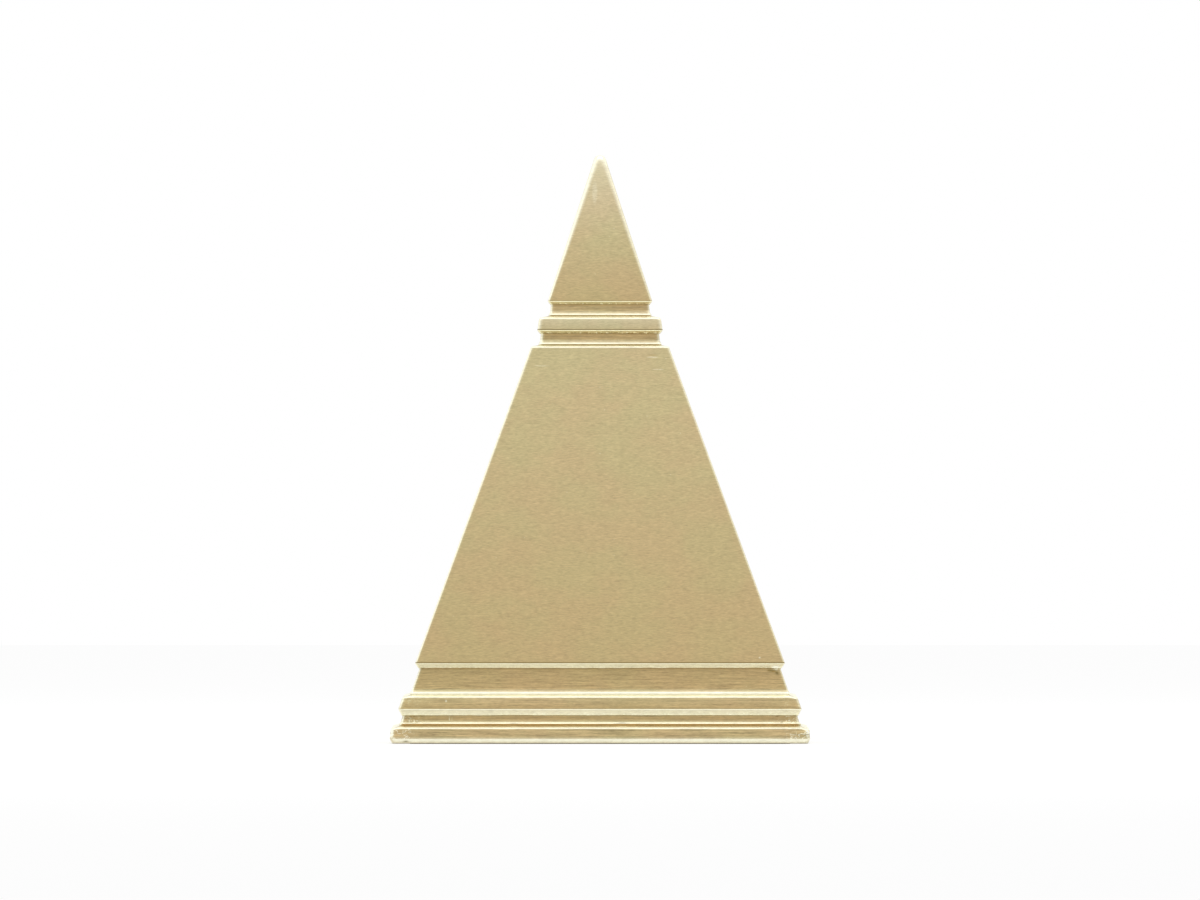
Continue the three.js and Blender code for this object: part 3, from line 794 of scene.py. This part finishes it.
@dataclass(frozen=True)
class Pyramid:
    """The pyramid whose faces the castings lie in, and the heights of the castings' feet."""

    base_width: float = 129.6
    crown_width: float = 41.45
    rim: float = 0.35
    band_foot: float = 5.55
    body_foot: float = 14.85
    collar_foot: float = 120.6
    cap_foot: float = 129.45
    tip: float = 178.25
    inner_corner: float = 2.0
    spigot: float = 8.0
    spigot_corner: float = 1.0
    spigot_height: float = 2.0
    fit: float = 0.25
    relief: float = 0.3
    lip_height: float = 1.5
    lip_wall: float = 2.6
    rod: float = 3.0
    rod_clearance: float = 0.35
    body_wall: float = 3.2
    body_crown: float = 9.0

    @property
    def lean(self) -> float:
        """How far a face leans in, for each millimetre of height."""
        return (self.base_width - self.crown_width) / 2 / self.collar_foot

    def half_at(self, height: float) -> float:
        """Half the width between opposite faces at a height."""
        return self.base_width / 2 - self.lean * height

    def on_face(self, height: float, corner: float, **wear: float) -> Row:
        """A row in the faces at a height."""
        return Row(self.half_at(height), height, corner, **wear)

    def socket(self, platform: float) -> list[Row]:
        """The socket in a platform.

        Args:
            platform: The platform's height.

        Returns:
            The rows from its rim down to its floor.
        """
        half = self.spigot + self.fit
        floor = platform - self.spigot_height - self.relief
        return [Row(half, platform, self.spigot_corner), Row(half, floor, self.spigot_corner)]

    def peg(self, foot: float) -> list[Row]:
        """The spigot under a foot, from its end up to the foot."""
        low = foot - self.spigot_height
        return [Row(self.spigot, low, self.spigot_corner), Row(self.spigot, foot, self.spigot_corner)]

    def well(self, half: float, *heights: float) -> list[Row]:
        """A square opening between heights."""
        return [Row(half, height, self.inner_corner) for height in heights]

    def hole(self, radius: float, *heights: float) -> list[Row]:
        """A round hole between heights, which is a square whose corners are all that it has."""
        return [Row(radius, height, radius) for height in heights]


@dataclass(frozen=True)
class Groove:
    """The groove round the bottom of a casting: its foot, its neck and the soffit over it."""

    foot: float
    riser: float
    fillet: float
    height: float
    soffit: float
    depth: float
    lean: float
    corner: float
    bevel: float  # how far the rough bevel of the soffit leads in
    # Tones paint light and shade with the wear: painted shade on riser, neck and under the soffit (the
    # body's riser a painted highlight), a painted reflection on bright soffits, a painted highlight on the
    # lip.
    riser_tone: float
    neck_tone: float
    shadow_tone: float
    soffit_tone: float
    lip_tone: float
    line_grime: float  # the painted shade of the dark line just over the lip
    beads: float
    ripple: float
    crinkle: float = 0.0
    foot_step: float = 0.5
    undercut: float = 0.15
    fade: float = 1.0  # up the face, what is left of the lip's own wear and painted light ends here

    @property
    def neck_top(self) -> float:
        """The height where the neck meets the soffit."""
        return self.foot + self.riser + self.fillet + self.height

    @property
    def lip(self) -> float:
        """The height of the face's lower edge."""
        return self.neck_top + self.soffit

    def neck_half(self, pyramid: Pyramid) -> float:
        """Half the width of the neck at its top."""
        return pyramid.half_at(self.lip) - self.depth

    def foot_half(self, pyramid: Pyramid) -> float:
        """Half the width of the foot."""
        return self.neck_half(pyramid) + self.lean * self.height + self.foot_step

    def rows(self, pyramid: Pyramid, face: dict[str, float]) -> list[Row]:
        """The outline from the foot up to the bottom of the face.

        Args:
            pyramid: The pyramid that the face lies in.
            face: The wear of the face above.

        Returns:
            The rows.
        """
        foot_half = self.foot_half(pyramid)
        # The riser's tone, then a painted highlight over the ridge that fades down the fillet.
        foot = Row(foot_half, self.foot, self.corner, ease=0.1, step=0.3)
        foot = replace(foot, tone=self.riser_tone, hips=0.8)
        ridge = replace(foot, height=self.foot + self.riser, ease=0.25, sway=0.05, sag=0.03)
        ridge = replace(ridge, tone_turn=1.0 - self.riser_tone, hips=1.0)
        low = Row(foot_half - self.foot_step, ridge.height + self.fillet, self.corner)
        low = replace(low, ease=0.3, step=1.2, sway=0.06)
        low = replace(low, hips=0.9, tone=0.05, brushed=0.5, crinkle=self.crinkle)
        # The neck's top gets the painted shadow of the soffit.
        high = replace(low, half=self.neck_half(pyramid), height=self.neck_top, ease=0.15)
        high = replace(high, tone=self.shadow_tone, sag=self.ripple, grime=0.15)
        # The lip gets a painted highlight, with a line of painted shade just over it, and the soffit under
        # it a painted reflection.
        lip = pyramid.on_face(self.lip, self.corner, ease=0.2, step=0.3, sway=0.03, sag=0.02)
        lip = replace(lip, tone=self.lip_tone, tone_turn=face["tone"] - self.lip_tone, hips=0.9)
        up_face = pyramid.on_face(self.lip + self.fade, self.corner, **face)
        rough = {"hips": 0.9, "step": 0.2, "brushed": 0.0}
        inner = replace(lip, half=lip.half - self.bevel, height=self.neck_top + self.undercut, **rough)
        inner = replace(inner, ease=0.12, tone=self.soffit_tone, tone_turn=0.0, sag=self.ripple)
        inner = replace(inner, beads=self.beads)
        return [
            foot,
            ridge,
            ridge.towards(low, 0.35, tone=0.65),
            ridge.towards(low, 0.65, tone=0.15),
            low,
            low.towards(high, 0.35, tone=self.neck_tone * 0.5, brushed=1.3),
            low.towards(high, 0.7, tone=self.neck_tone, brushed=1.4, step=1.0),
            high.towards(low, 0.5, tone=self.neck_tone, brushed=1.0),
            high.towards(low, 0.3, tone=self.shadow_tone, grime=0.1),
            high,
            inner.towards(high, 0.1, tone=self.shadow_tone, grime=0.4, beads=0.0),
            inner,
            lip.towards(inner, 0.4, tone=self.soffit_tone - 0.3, beads=0.0, **rough),
            lip.towards(inner, 0.18, tone=self.lip_tone, **rough),
            lip,
            lip.towards(up_face, 0.13, **{**face, "grime": self.line_grime}),
            lip.towards(up_face, 0.34, **{**face, "grime": self.line_grime * 0.8}),
            lip.towards(up_face, 0.5, **face),
        ]


@dataclass(frozen=True)
class Ledge:
    """The ledge on top of a casting, from its face in to the foot that stands on it."""

    platform: float
    foot_half: float
    corner: float
    fall: float
    droop: float
    proud: float = 0.0
    ease: float = 0.35
    fade: float = 5.0  # down the face, what is left of the edge's own wear and painted highlight ends here

    def rows(self, pyramid: Pyramid, face: dict[str, float]) -> list[Row]:
        """The outline from the top of the face to the foot.

        Args:
            pyramid: The pyramid that the face lies in.
            face: The wear of the face below.

        Returns:
            The rows.
        """
        edge_height = self.platform - self.fall
        # The edge and the top of the ledge carry a painted highlight.
        edge = pyramid.on_face(edge_height, self.corner, ease=self.ease, step=0.5)
        edge = replace(edge, tone=0.8, tone_turn=0.3, hips=1.0, droop=self.droop, sway=0.03, sag=0.025)
        below = pyramid.on_face(edge_height - self.fade, self.corner, **face)
        edge, below = (replace(row, half=row.half + self.proud) for row in (edge, below))
        inner = Row(self.foot_half, self.platform, self.corner, tone=1.0)
        return [
            edge.towards(below, 2.6, **{**face, "droop": 0.0}),
            edge.towards(below, 1.0, **{**face, "droop": self.droop * 0.45, "step": 0.6}),
            edge.towards(below, 0.55, **{**face, "droop": self.droop * 0.7}),
            edge,
            inner.towards(edge, 0.5, tone=1.0, droop=self.droop * 0.3),
            inner.towards(edge, 0.12, tone=1.0, droop=0.0, sway=0.0, sag=0.0),
            inner,
        ]


PYRAMID = Pyramid()
CAP_GROOVE = Groove(
    foot=PYRAMID.cap_foot, riser=0.32, fillet=0.93, height=2.17, soffit=1.04, depth=0.95, lean=0.08,
    corner=0.7, bevel=0.7, riser_tone=-0.35, neck_tone=-0.35, shadow_tone=-0.6, soffit_tone=0.1,
    lip_tone=1.2, line_grime=0.4, beads=0.75, ripple=0.04,
)
COLLAR_GROOVE = Groove(
    foot=PYRAMID.collar_foot, riser=0.36, fillet=0.93, height=2.15, soffit=1.05, depth=1.15, lean=0.1,
    corner=0.9, bevel=0.8, riser_tone=-0.3, neck_tone=-0.5, shadow_tone=-0.6, soffit_tone=0.1,
    lip_tone=1.25, line_grime=1.0, beads=0.85, ripple=0.04,
)
BODY_GROOVE = Groove(
    foot=PYRAMID.body_foot, riser=0.46, fillet=0.85, height=6.63, soffit=1.55, depth=1.35, lean=0.35,
    corner=0.6, bevel=0.95, riser_tone=0.75, neck_tone=-0.45, shadow_tone=-0.5, soffit_tone=0.85,
    lip_tone=1.2, line_grime=1.0, beads=0.25, ripple=0.16,
)
BAND_GROOVE = Groove(
    foot=PYRAMID.band_foot, riser=0.6, fillet=0.62, height=1.75, soffit=2.06, depth=1.25, lean=0.25,
    corner=0.8, bevel=0.95, riser_tone=-0.9, neck_tone=-0.55, shadow_tone=-0.45, soffit_tone=0.8,
    lip_tone=1.2, line_grime=0.45, beads=0.25, ripple=0.14, crinkle=0.8,
)


@dataclass(frozen=True)
class Nick:
    """A small dent on the front of a casting, in millimetres; a negative depth is a burr. Its tone can
    paint a glint, and its painted shade a shadow.
    """

    x: float
    z: float
    width: float
    height: float
    depth: float
    tone: float = 0.0
    grime: float = 0.0


ROUND_THE_HIP = 1.0  # how far a nick on the front reaches on past the hip, in millimetres


@dataclass
class Casting:
    """A brass casting that the mould makes. Its subclasses say what its outline is."""

    pyramid: Pyramid = PYRAMID
    node: str = ""
    columns: tuple[int, int] = (120, 8)
    closed: bool = True
    nicks: tuple[Nick, ...] = ()

    def outline(self) -> list[Row]:
        """The bends of the outline, up the outside and down the inside."""
        raise NotImplementedError

    def dented(self, piece: Object) -> None:
        """Presses the nicks into the front of the mesh and changes its tone and painted shade there, for
        some nicks' painted glints and shadows.

        Args:
            piece: The piece as the mould made it.
        """
        count = len(piece.data.vertices)
        points = np.empty(count * 3)
        piece.data.vertices.foreach_get("co", points)
        points = points.reshape(-1, 3)
        x, y, z = (points[:, i] / MM for i in range(3))
        front = (y < 0) & (np.abs(x) < np.abs(y) + ROUND_THE_HIP)
        wear = {name: np.empty(count) for name in ("tone", "grime")}
        for name, values in wear.items():
            piece.data.attributes[name].data.foreach_get("value", values)
        for nick in self.nicks:
            spread = ((x - nick.x) / nick.width) ** 2 + ((z - nick.z) / nick.height) ** 2
            share = front * np.exp(-spread)
            points[:, 1] += share * nick.depth * MM
            wear["tone"] += share * nick.tone
            wear["grime"] += share * nick.grime
        piece.data.vertices.foreach_set("co", points.ravel())
        for name, values in wear.items():
            piece.data.attributes[name].data.foreach_set("value", values)
        piece.data.update()

    def build(self, mould: Mould, finish: Material) -> None:
        """Casts the piece and puts it in place of its CAD node.

        Args:
            mould: The node tree that shapes it.
            finish: Its material.
        """
        piece = mould.cast(self.node + "_casting", self.outline(), self.closed, self.columns, finish)
        self.dented(piece)
        stand_for(piece, self.node)


@dataclass
class Cap(Casting):
    """The pointed top, with its groove, its spigot and the tapped hole for the rod."""

    node: str = "cap"
    columns: tuple[int, int] = (110, 8)
    closed: bool = False
    tip_radius: float = 1.9
    hip_radius: float = 1.4
    tapped_height: float = 141.45
    thread_clearance: float = 0.1
    tip_steps: int = 7
    nicks: tuple[Nick, ...] = (Nick(6.5, 131.1, 0.5, 0.6, 0.15),)

    def outline(self) -> list[Row]:
        """Draws the cap's section.

        Returns:
            The bends, from the top of the tapped hole round to the tip.
        """
        pyramid = self.pyramid
        face = {"tone": -0.3, "hips": 0.9, "sway": 0.05, "step": 3.0}
        groove = CAP_GROOVE.rows(pyramid, face)
        edge = groove[-1]
        ball = pyramid.tip - self.tip_radius
        to_ball = Vector((edge.half, ball - edge.height))
        slope = math.acos(self.tip_radius / to_ball.length) - math.atan2(to_ball.y, to_ball.x)
        # The tip and the rows just under it are paler: a painted highlight at the top.
        tip = []
        for i in range(self.tip_steps):
            angle = slope + (QUARTER_TURN - slope) * i / (self.tip_steps - 1)
            half = 0.0 if i == self.tip_steps - 1 else self.tip_radius * math.cos(angle)
            height = ball + self.tip_radius * math.sin(angle)
            tip.append(Row(half, height, self.hip_radius, tone=0.8, hips=1.0))
        length = math.dist((edge.half, edge.height), (tip[0].half, tip[0].height))
        paler = [
            tip[0].towards(edge, 1.0, tone=0.35, hips=1.0, sway=0.02),
            tip[0].towards(edge, 4.0, tone=0.2, hips=0.95, sway=0.04, step=2.0),
            tip[0].towards(edge, length * 0.55, tone=0.0, hips=0.95, sway=0.05, step=3.0),
        ]
        bore = pyramid.rod + self.thread_clearance
        low = pyramid.cap_foot - pyramid.spigot_height
        return [
            Row(0.0, self.tapped_height, 0.0),
            *pyramid.hole(bore, self.tapped_height, low),
            *pyramid.peg(pyramid.cap_foot),
            *groove,
            *reversed(paler),
            *tip,
        ]


@dataclass
class Collar(Casting):
    """The narrow band under the cap, with the pocket for the lock nut."""

    node: str = "collar"
    columns: tuple[int, int] = (130, 8)
    pocket_radius: float = 6.97
    pocket_floor: float = 123.65

    def outline(self) -> list[Row]:
        """Draws the collar's section.

        Returns:
            The bends, up the outside and down through the socket and the nut's pocket.
        """
        pyramid = self.pyramid
        face = {"tone": 0.03, "hips": 0.8, "sway": 0.04, "step": 1.0, "brushed": 0.15}
        # The face is lighter towards its top: painted light.
        top = {**face, "tone": 0.15}
        foot_half = CAP_GROOVE.foot_half(pyramid)
        ledge = Ledge(pyramid.cap_foot, foot_half, 0.9, fall=0.57, droop=0.12, proud=0.55)
        rod_hole = pyramid.rod + pyramid.rod_clearance
        low = pyramid.collar_foot - pyramid.spigot_height
        socket = pyramid.socket(pyramid.cap_foot)
        return [
            *pyramid.peg(pyramid.collar_foot),
            *COLLAR_GROOVE.rows(pyramid, face),
            *ledge.rows(pyramid, top)[1:],
            *socket,
            *pyramid.hole(self.pocket_radius, socket[-1].height, self.pocket_floor),
            *pyramid.hole(rod_hole, self.pocket_floor, low),
        ]


@dataclass
class Body(Casting):
    """The tall hollow frustum."""

    node: str = "body"
    columns: tuple[int, int] = (210, 8)
    nicks: tuple[Nick, ...] = (
        # The burr gets a painted glint, and the three dents under it a painted shadow.
        Nick(53.1, 22.75, 0.65, 0.42, -0.6, tone=2.2),
        Nick(51.4, 22.2, 0.9, 0.3, 0.2, grime=1.0),
        Nick(52.6, 21.95, 0.8, 0.35, 0.2, grime=1.3),
        Nick(53.5, 21.6, 0.5, 0.35, 0.2, grime=1.3),
        Nick(-46.0, 20.7, 0.5, 0.4, 0.12),
    )

    def hollow_at(self, height: float) -> float:
        """Measures the hollow.

        Args:
            height: Where it is measured.

        Returns:
            Half its width there.
        """
        pyramid = self.pyramid
        low_half = BODY_GROOVE.neck_half(pyramid) - pyramid.body_wall
        top = pyramid.collar_foot - pyramid.body_crown
        top_half = pyramid.half_at(top) - pyramid.body_wall
        return top_half + (low_half - top_half) / (top - BODY_GROOVE.neck_top) * (top - height)

    def outline(self) -> list[Row]:
        """Draws the body's section.

        Returns:
            The bends, up the outside and down through the socket, the rod's hole and the hollow.
        """
        pyramid = self.pyramid
        face = {"tone": -0.33, "hips": 0.85, "sway": 0.07, "step": 5.0}
        # The face is lighter towards its top: painted light.
        top = {**face, "tone": 0.0}
        ledge = Ledge(pyramid.collar_foot, COLLAR_GROOVE.foot_half(pyramid), 0.6, fall=0.45, droop=0.1)
        crown = pyramid.collar_foot - pyramid.body_crown
        socket = pyramid.socket(pyramid.collar_foot)
        rod_hole = pyramid.rod + pyramid.rod_clearance
        return [
            *BODY_GROOVE.rows(pyramid, face),
            *ledge.rows(pyramid, top),
            *socket,
            *pyramid.hole(rod_hole, socket[-1].height, crown),
            Row(self.hollow_at(crown), crown, pyramid.inner_corner, step=30.0),
            *pyramid.well(self.hollow_at(pyramid.body_foot), pyramid.body_foot),
        ]


@dataclass
class LowerBand(Casting):
    """The ring under the body."""

    node: str = "lower_band"
    columns: tuple[int, int] = (280, 10)
    nicks: tuple[Nick, ...] = (
        Nick(-45.4, 7.6, 0.35, 0.9, -0.22),
        Nick(-26.0, 6.0, 0.9, 0.3, 0.25),
        Nick(6.5, 6.1, 1.6, 0.3, 0.22),
        Nick(-57.4, 11.4, 0.3, 0.7, -0.12),
    )

    def outline(self) -> list[Row]:
        """Draws the ring's section.

        Returns:
            The bends, up the outside and down through the lip's opening.
        """
        pyramid = self.pyramid
        body = Body()
        face = {"tone": -0.45, "hips": 0.7, "sway": 0.07, "step": 0.7, "brushed": 1.0, "crinkle": 0.3}
        # The face is lighter towards its top: painted light.
        top = {**face, "tone": -0.25}
        foot_half = BODY_GROOVE.foot_half(pyramid)
        ledge = Ledge(pyramid.body_foot, foot_half, 0.8, fall=0.54, droop=0.3)
        lip_top = pyramid.body_foot + pyramid.lip_height
        opening = body.hollow_at(pyramid.body_foot) - pyramid.fit - pyramid.lip_wall
        return [
            *BAND_GROOVE.rows(pyramid, face),
            *ledge.rows(pyramid, top)[1:],
            *pyramid.well(opening + pyramid.lip_wall, pyramid.body_foot),
            *pyramid.well(body.hollow_at(lip_top) - pyramid.fit, lip_top),
            *pyramid.well(opening, lip_top, pyramid.band_foot),
        ]


@dataclass
class Plinth(Casting):
    """The base band, with its rounded lower edge and the seats inside it."""

    node: str = "plinth"
    columns: tuple[int, int] = (320, 12)
    corner: float = 1.1
    foot: tuple[float, float] = (62.8, 0.18)
    belly: tuple[float, float] = (63.53, 1.55)
    brow: tuple[float, float] = (63.1, 4.6)
    lip_half: float = 51.04
    opening: float = 48.44
    recess_half: float = 58.525
    recess_corner: float = 3.0
    shoulder: float = 5.0
    plate_top: float = 2.8
    nicks: tuple[Nick, ...] = (
        Nick(-60.0, 1.6, 0.5, 0.35, 0.4),
        # This dent near the foot gets painted shade.
        Nick(-58.6, 0.75, 0.8, 0.25, 0.1, grime=0.9),
        Nick(-31.0, 2.6, 0.4, 0.3, 0.12),
        Nick(12.0, 2.4, 0.35, 0.3, 0.12),
    )

    def outline(self) -> list[Row]:
        """Draws the base band's section.

        Returns:
            The bends, up the rounded base band to the ledge and down through the opening.
        """
        pyramid = self.pyramid
        face = {"tone": -0.3, "hips": 1.0, "sway": 0.03, "step": 0.5, "crinkle": 0.9, "brushed": 1.8}
        # The foot gets painted shade where it meets the floor, and the belly a painted reflection of the
        # floor.
        foot = Row(*self.foot, self.corner, ease=0.2, step=0.2)
        foot = replace(foot, tone=-0.5, tone_turn=0.7, grime=0.45, hips=0.6)
        belly = Row(*self.belly, self.corner, ease=0.6, step=0.5)
        belly = replace(belly, tone=1.1, tone_turn=-1.0, hips=0.5, crinkle=0.9, sway=0.02, sag=0.04)
        ledge = Ledge(pyramid.band_foot, BAND_GROOVE.foot_half(pyramid), self.corner, fall=0.62, droop=0.45)
        lip_top = pyramid.band_foot + pyramid.lip_height
        return [
            foot,
            foot.towards(belly, 0.3, tone=0.6, grime=0.0),
            belly,
            belly.towards(Row(*self.brow, self.corner), 0.9, **face),
            *ledge.rows(pyramid, face)[2:],
            *pyramid.well(self.lip_half, pyramid.band_foot, lip_top),
            *pyramid.well(self.opening, lip_top, self.shoulder),
            *pyramid.well(self.lip_half, self.shoulder, self.plate_top),
            Row(self.recess_half, self.plate_top, self.recess_corner),
            Row(self.recess_half, pyramid.rim, self.recess_corner),
        ]


@dataclass
class FeltPad:
    """The pad that the ornament rests on, cut from pressed felt."""

    node: str = "felt_pad"
    half: float = 57.825
    thickness: float = 1.2
    corner: float = 3.0
    cut: float = 0.35
    soft_edge: float = 0.15
    fray: float = 0.25
    lumps: float = 0.05
    columns: tuple[int, int] = (90, 8)

    def build(self, mould: Mould) -> None:
        """Makes the pad and puts it in place of its CAD node.

        Args:
            mould: The node tree that shapes it.
        """
        middle = Row(0.0, self.lumps, 0.0, sag=self.lumps, step=3.0)
        edge = replace(middle, half=self.half, corner=self.corner, ease=self.cut, step=0.4, sway=self.fray)
        top = Row(self.half, self.thickness, self.corner, self.soft_edge, sway=self.fray)
        outline = [middle, edge, top, Row(0.0, self.thickness, 0.0)]
        piece = mould.cast("felt", outline, False, self.columns, PressedFelt().make())
        stand_for(piece, self.node)
        width = 2 * self.half * MM


@dataclass
class Hardware:
    """The spider, the tie rod, its nuts and washers, the cover plate and its screws."""

    finishes: tuple[tuple[PlainMetal, tuple[str, ...]], ...] = (
        (SAND_CAST, ("spider",)),
        (ZINC, ("tie_rod", "lock_nut", "flat_washer", "clamp_nut")),
        (BLUED, ("spring_washer",)),
        (ROLLED, ("cover_plate",)),
        (TURNED, ("cover_screw_1", "cover_screw_2", "cover_screw_3", "cover_screw_4")),
    )

    def build(self) -> None:
        """Dresses the hardware."""
        for finish, nodes in self.finishes:
            material = finish.make()
            for node in nodes:
                dress(node, material)


AIM = (0.0, 0.0, 0.09)  # the middle of the ornament, in metres


@dataclass(frozen=True)
class Softbox:
    """A lamp behind a white cloth, aimed at the middle of the ornament; sizes in metres."""

    name: str
    place: tuple[float, float, float]
    size: tuple[float, float]
    power: float

    def build(self) -> None:
        """Hangs the lamp."""
        data = bpy.data.lights.new(self.name, "AREA")
        data.shape = "RECTANGLE"
        data.size, data.size_y = self.size
        data.energy = self.power
        lamp = placed(self.name, data)
        lamp.location = self.place
        direction = Vector(AIM) - Vector(self.place)
        lamp.rotation_euler = direction.to_track_quat("-Z", "Y").to_euler()


@dataclass
class Studio:
    """The camera, the white floor, the light tent round everything and its lamps."""

    distance: float = 12000.0
    eye_height: float = 88.8
    lens: float = 1186.0
    sensor: float = 36.0
    far: float = 50.0  # in metres, as the next one is
    floor_size: float = 12.0
    floor_colour: tuple = colour(0.94, 0.94, 0.94)
    floor_white: float = 0.6  # the share of pure white, where the camera or mirroring metal sees it
    softboxes: tuple[Softbox, ...] = (
        Softbox("overhead", (0.0, -0.1, 1.6), (1.4, 1.4), 7.0),
        Softbox("left_strip", (-1.7, 0.35, 1.0), (0.5, 1.4), 1.5),
        Softbox("right_strip", (1.7, 0.35, 1.0), (0.5, 1.4), 1.5),
    )

    def camera(self) -> None:
        """Puts the camera level with the middle of the ornament, straight in front of it."""
        data = bpy.data.cameras.new("camera")
        data.lens = self.lens
        data.sensor_width = self.sensor
        data.clip_end = self.far
        eye = placed("camera", data)
        eye.location = (0.0, -self.distance * MM, self.eye_height * MM)
        eye.rotation_euler = (QUARTER_TURN, 0.0, 0.0)
        bpy.context.scene.camera = eye

    def floor(self) -> None:
        """Lays the pale floor, which the camera and mirroring metal see a little whiter than it is."""
        half = self.floor_size / 2
        mesh = bpy.data.meshes.new("floor")
        corners = [(-half, -half, 0), (half, -half, 0), (half, half, 0), (-half, half, 0)]
        mesh.from_pydata(corners, [], [(0, 1, 2, 3)])
        paint = Paint("floor")
        path = paint.node("ShaderNodeLightPath")
        seen = paint.out(path, "Is Camera Ray") + paint.out(path, "Is Glossy Ray")
        seen = (seen + paint.out(path, "Is Transmission Ray")).clamped()
        card = paint.node("ShaderNodeBsdfDiffuse", {}, {"Color": self.floor_colour})
        white = paint.node("ShaderNodeEmission", {}, {"Strength": 1.0})
        inputs = {0: seen * self.floor_white, 1: paint.out(card), 2: paint.out(white)}
        mesh.materials.append(paint.finish(paint.node("ShaderNodeMixShader", {}, inputs)))
        placed("floor", mesh)

    def tent(self) -> None:
        """Surrounds everything with plain white cloth."""
        world = bpy.data.worlds.new("tent")
        world.use_nodes = True
        bpy.context.scene.world = world
        tree = Tree(world.node_tree)
        cloth = tree.node("ShaderNodeBackground", {}, {"Color": colour(1, 1, 1), "Strength": 1.0})
        tree.node("ShaderNodeOutputWorld", {}, {"Surface": tree.out(cloth)})

    def build(self) -> None:
        """Sets up the studio."""
        self.camera()
        self.floor()
        self.tent()
        for softbox in self.softboxes:
            softbox.build()
        bpy.context.scene.view_settings.view_transform = "Standard"


def placed(name: str, data: object) -> Object:
    """Puts a new object into the scene.

    Args:
        name: The object's name.
        data: Its mesh, lamp or camera.

    Returns:
        The object.
    """
    made = bpy.data.objects.new(name, data)
    bpy.context.scene.collection.objects.link(made)
    return made


def dress(node: str, material: Material) -> None:
    """Gives a CAD node one material.

    Args:
        node: The node's name.
        material: Its finish.
    """
    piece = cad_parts[node]
    piece.data.materials.clear()
    piece.data.materials.append(material)
    log.info("%s: %s", node, material.name)


def stand_for(piece: Object, node: str) -> None:
    """Puts a finished piece in place of a CAD node.

    Args:
        piece: The piece as a plain mesh.
        node: The node's name.
    """
    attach(piece, BODY)
    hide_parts(node)
    heights = [corner[2] / MM for corner in piece.bound_box]
    faces = len(piece.data.polygons)
    log.info("%s: %d faces, %.1f to %.1f mm high", piece.name, faces, min(heights), max(heights))


def main() -> None:
    """Builds the studio and every piece."""
    Studio().build()
    mould = Mould()
    brass = BrushedBrass().make()
    for casting in (Cap, Collar, Body, LowerBand, Plinth):
        casting().build(mould, brass)
    Hardware().build()
    FeltPad().build(mould)


if __name__ == "__main__":
    main()
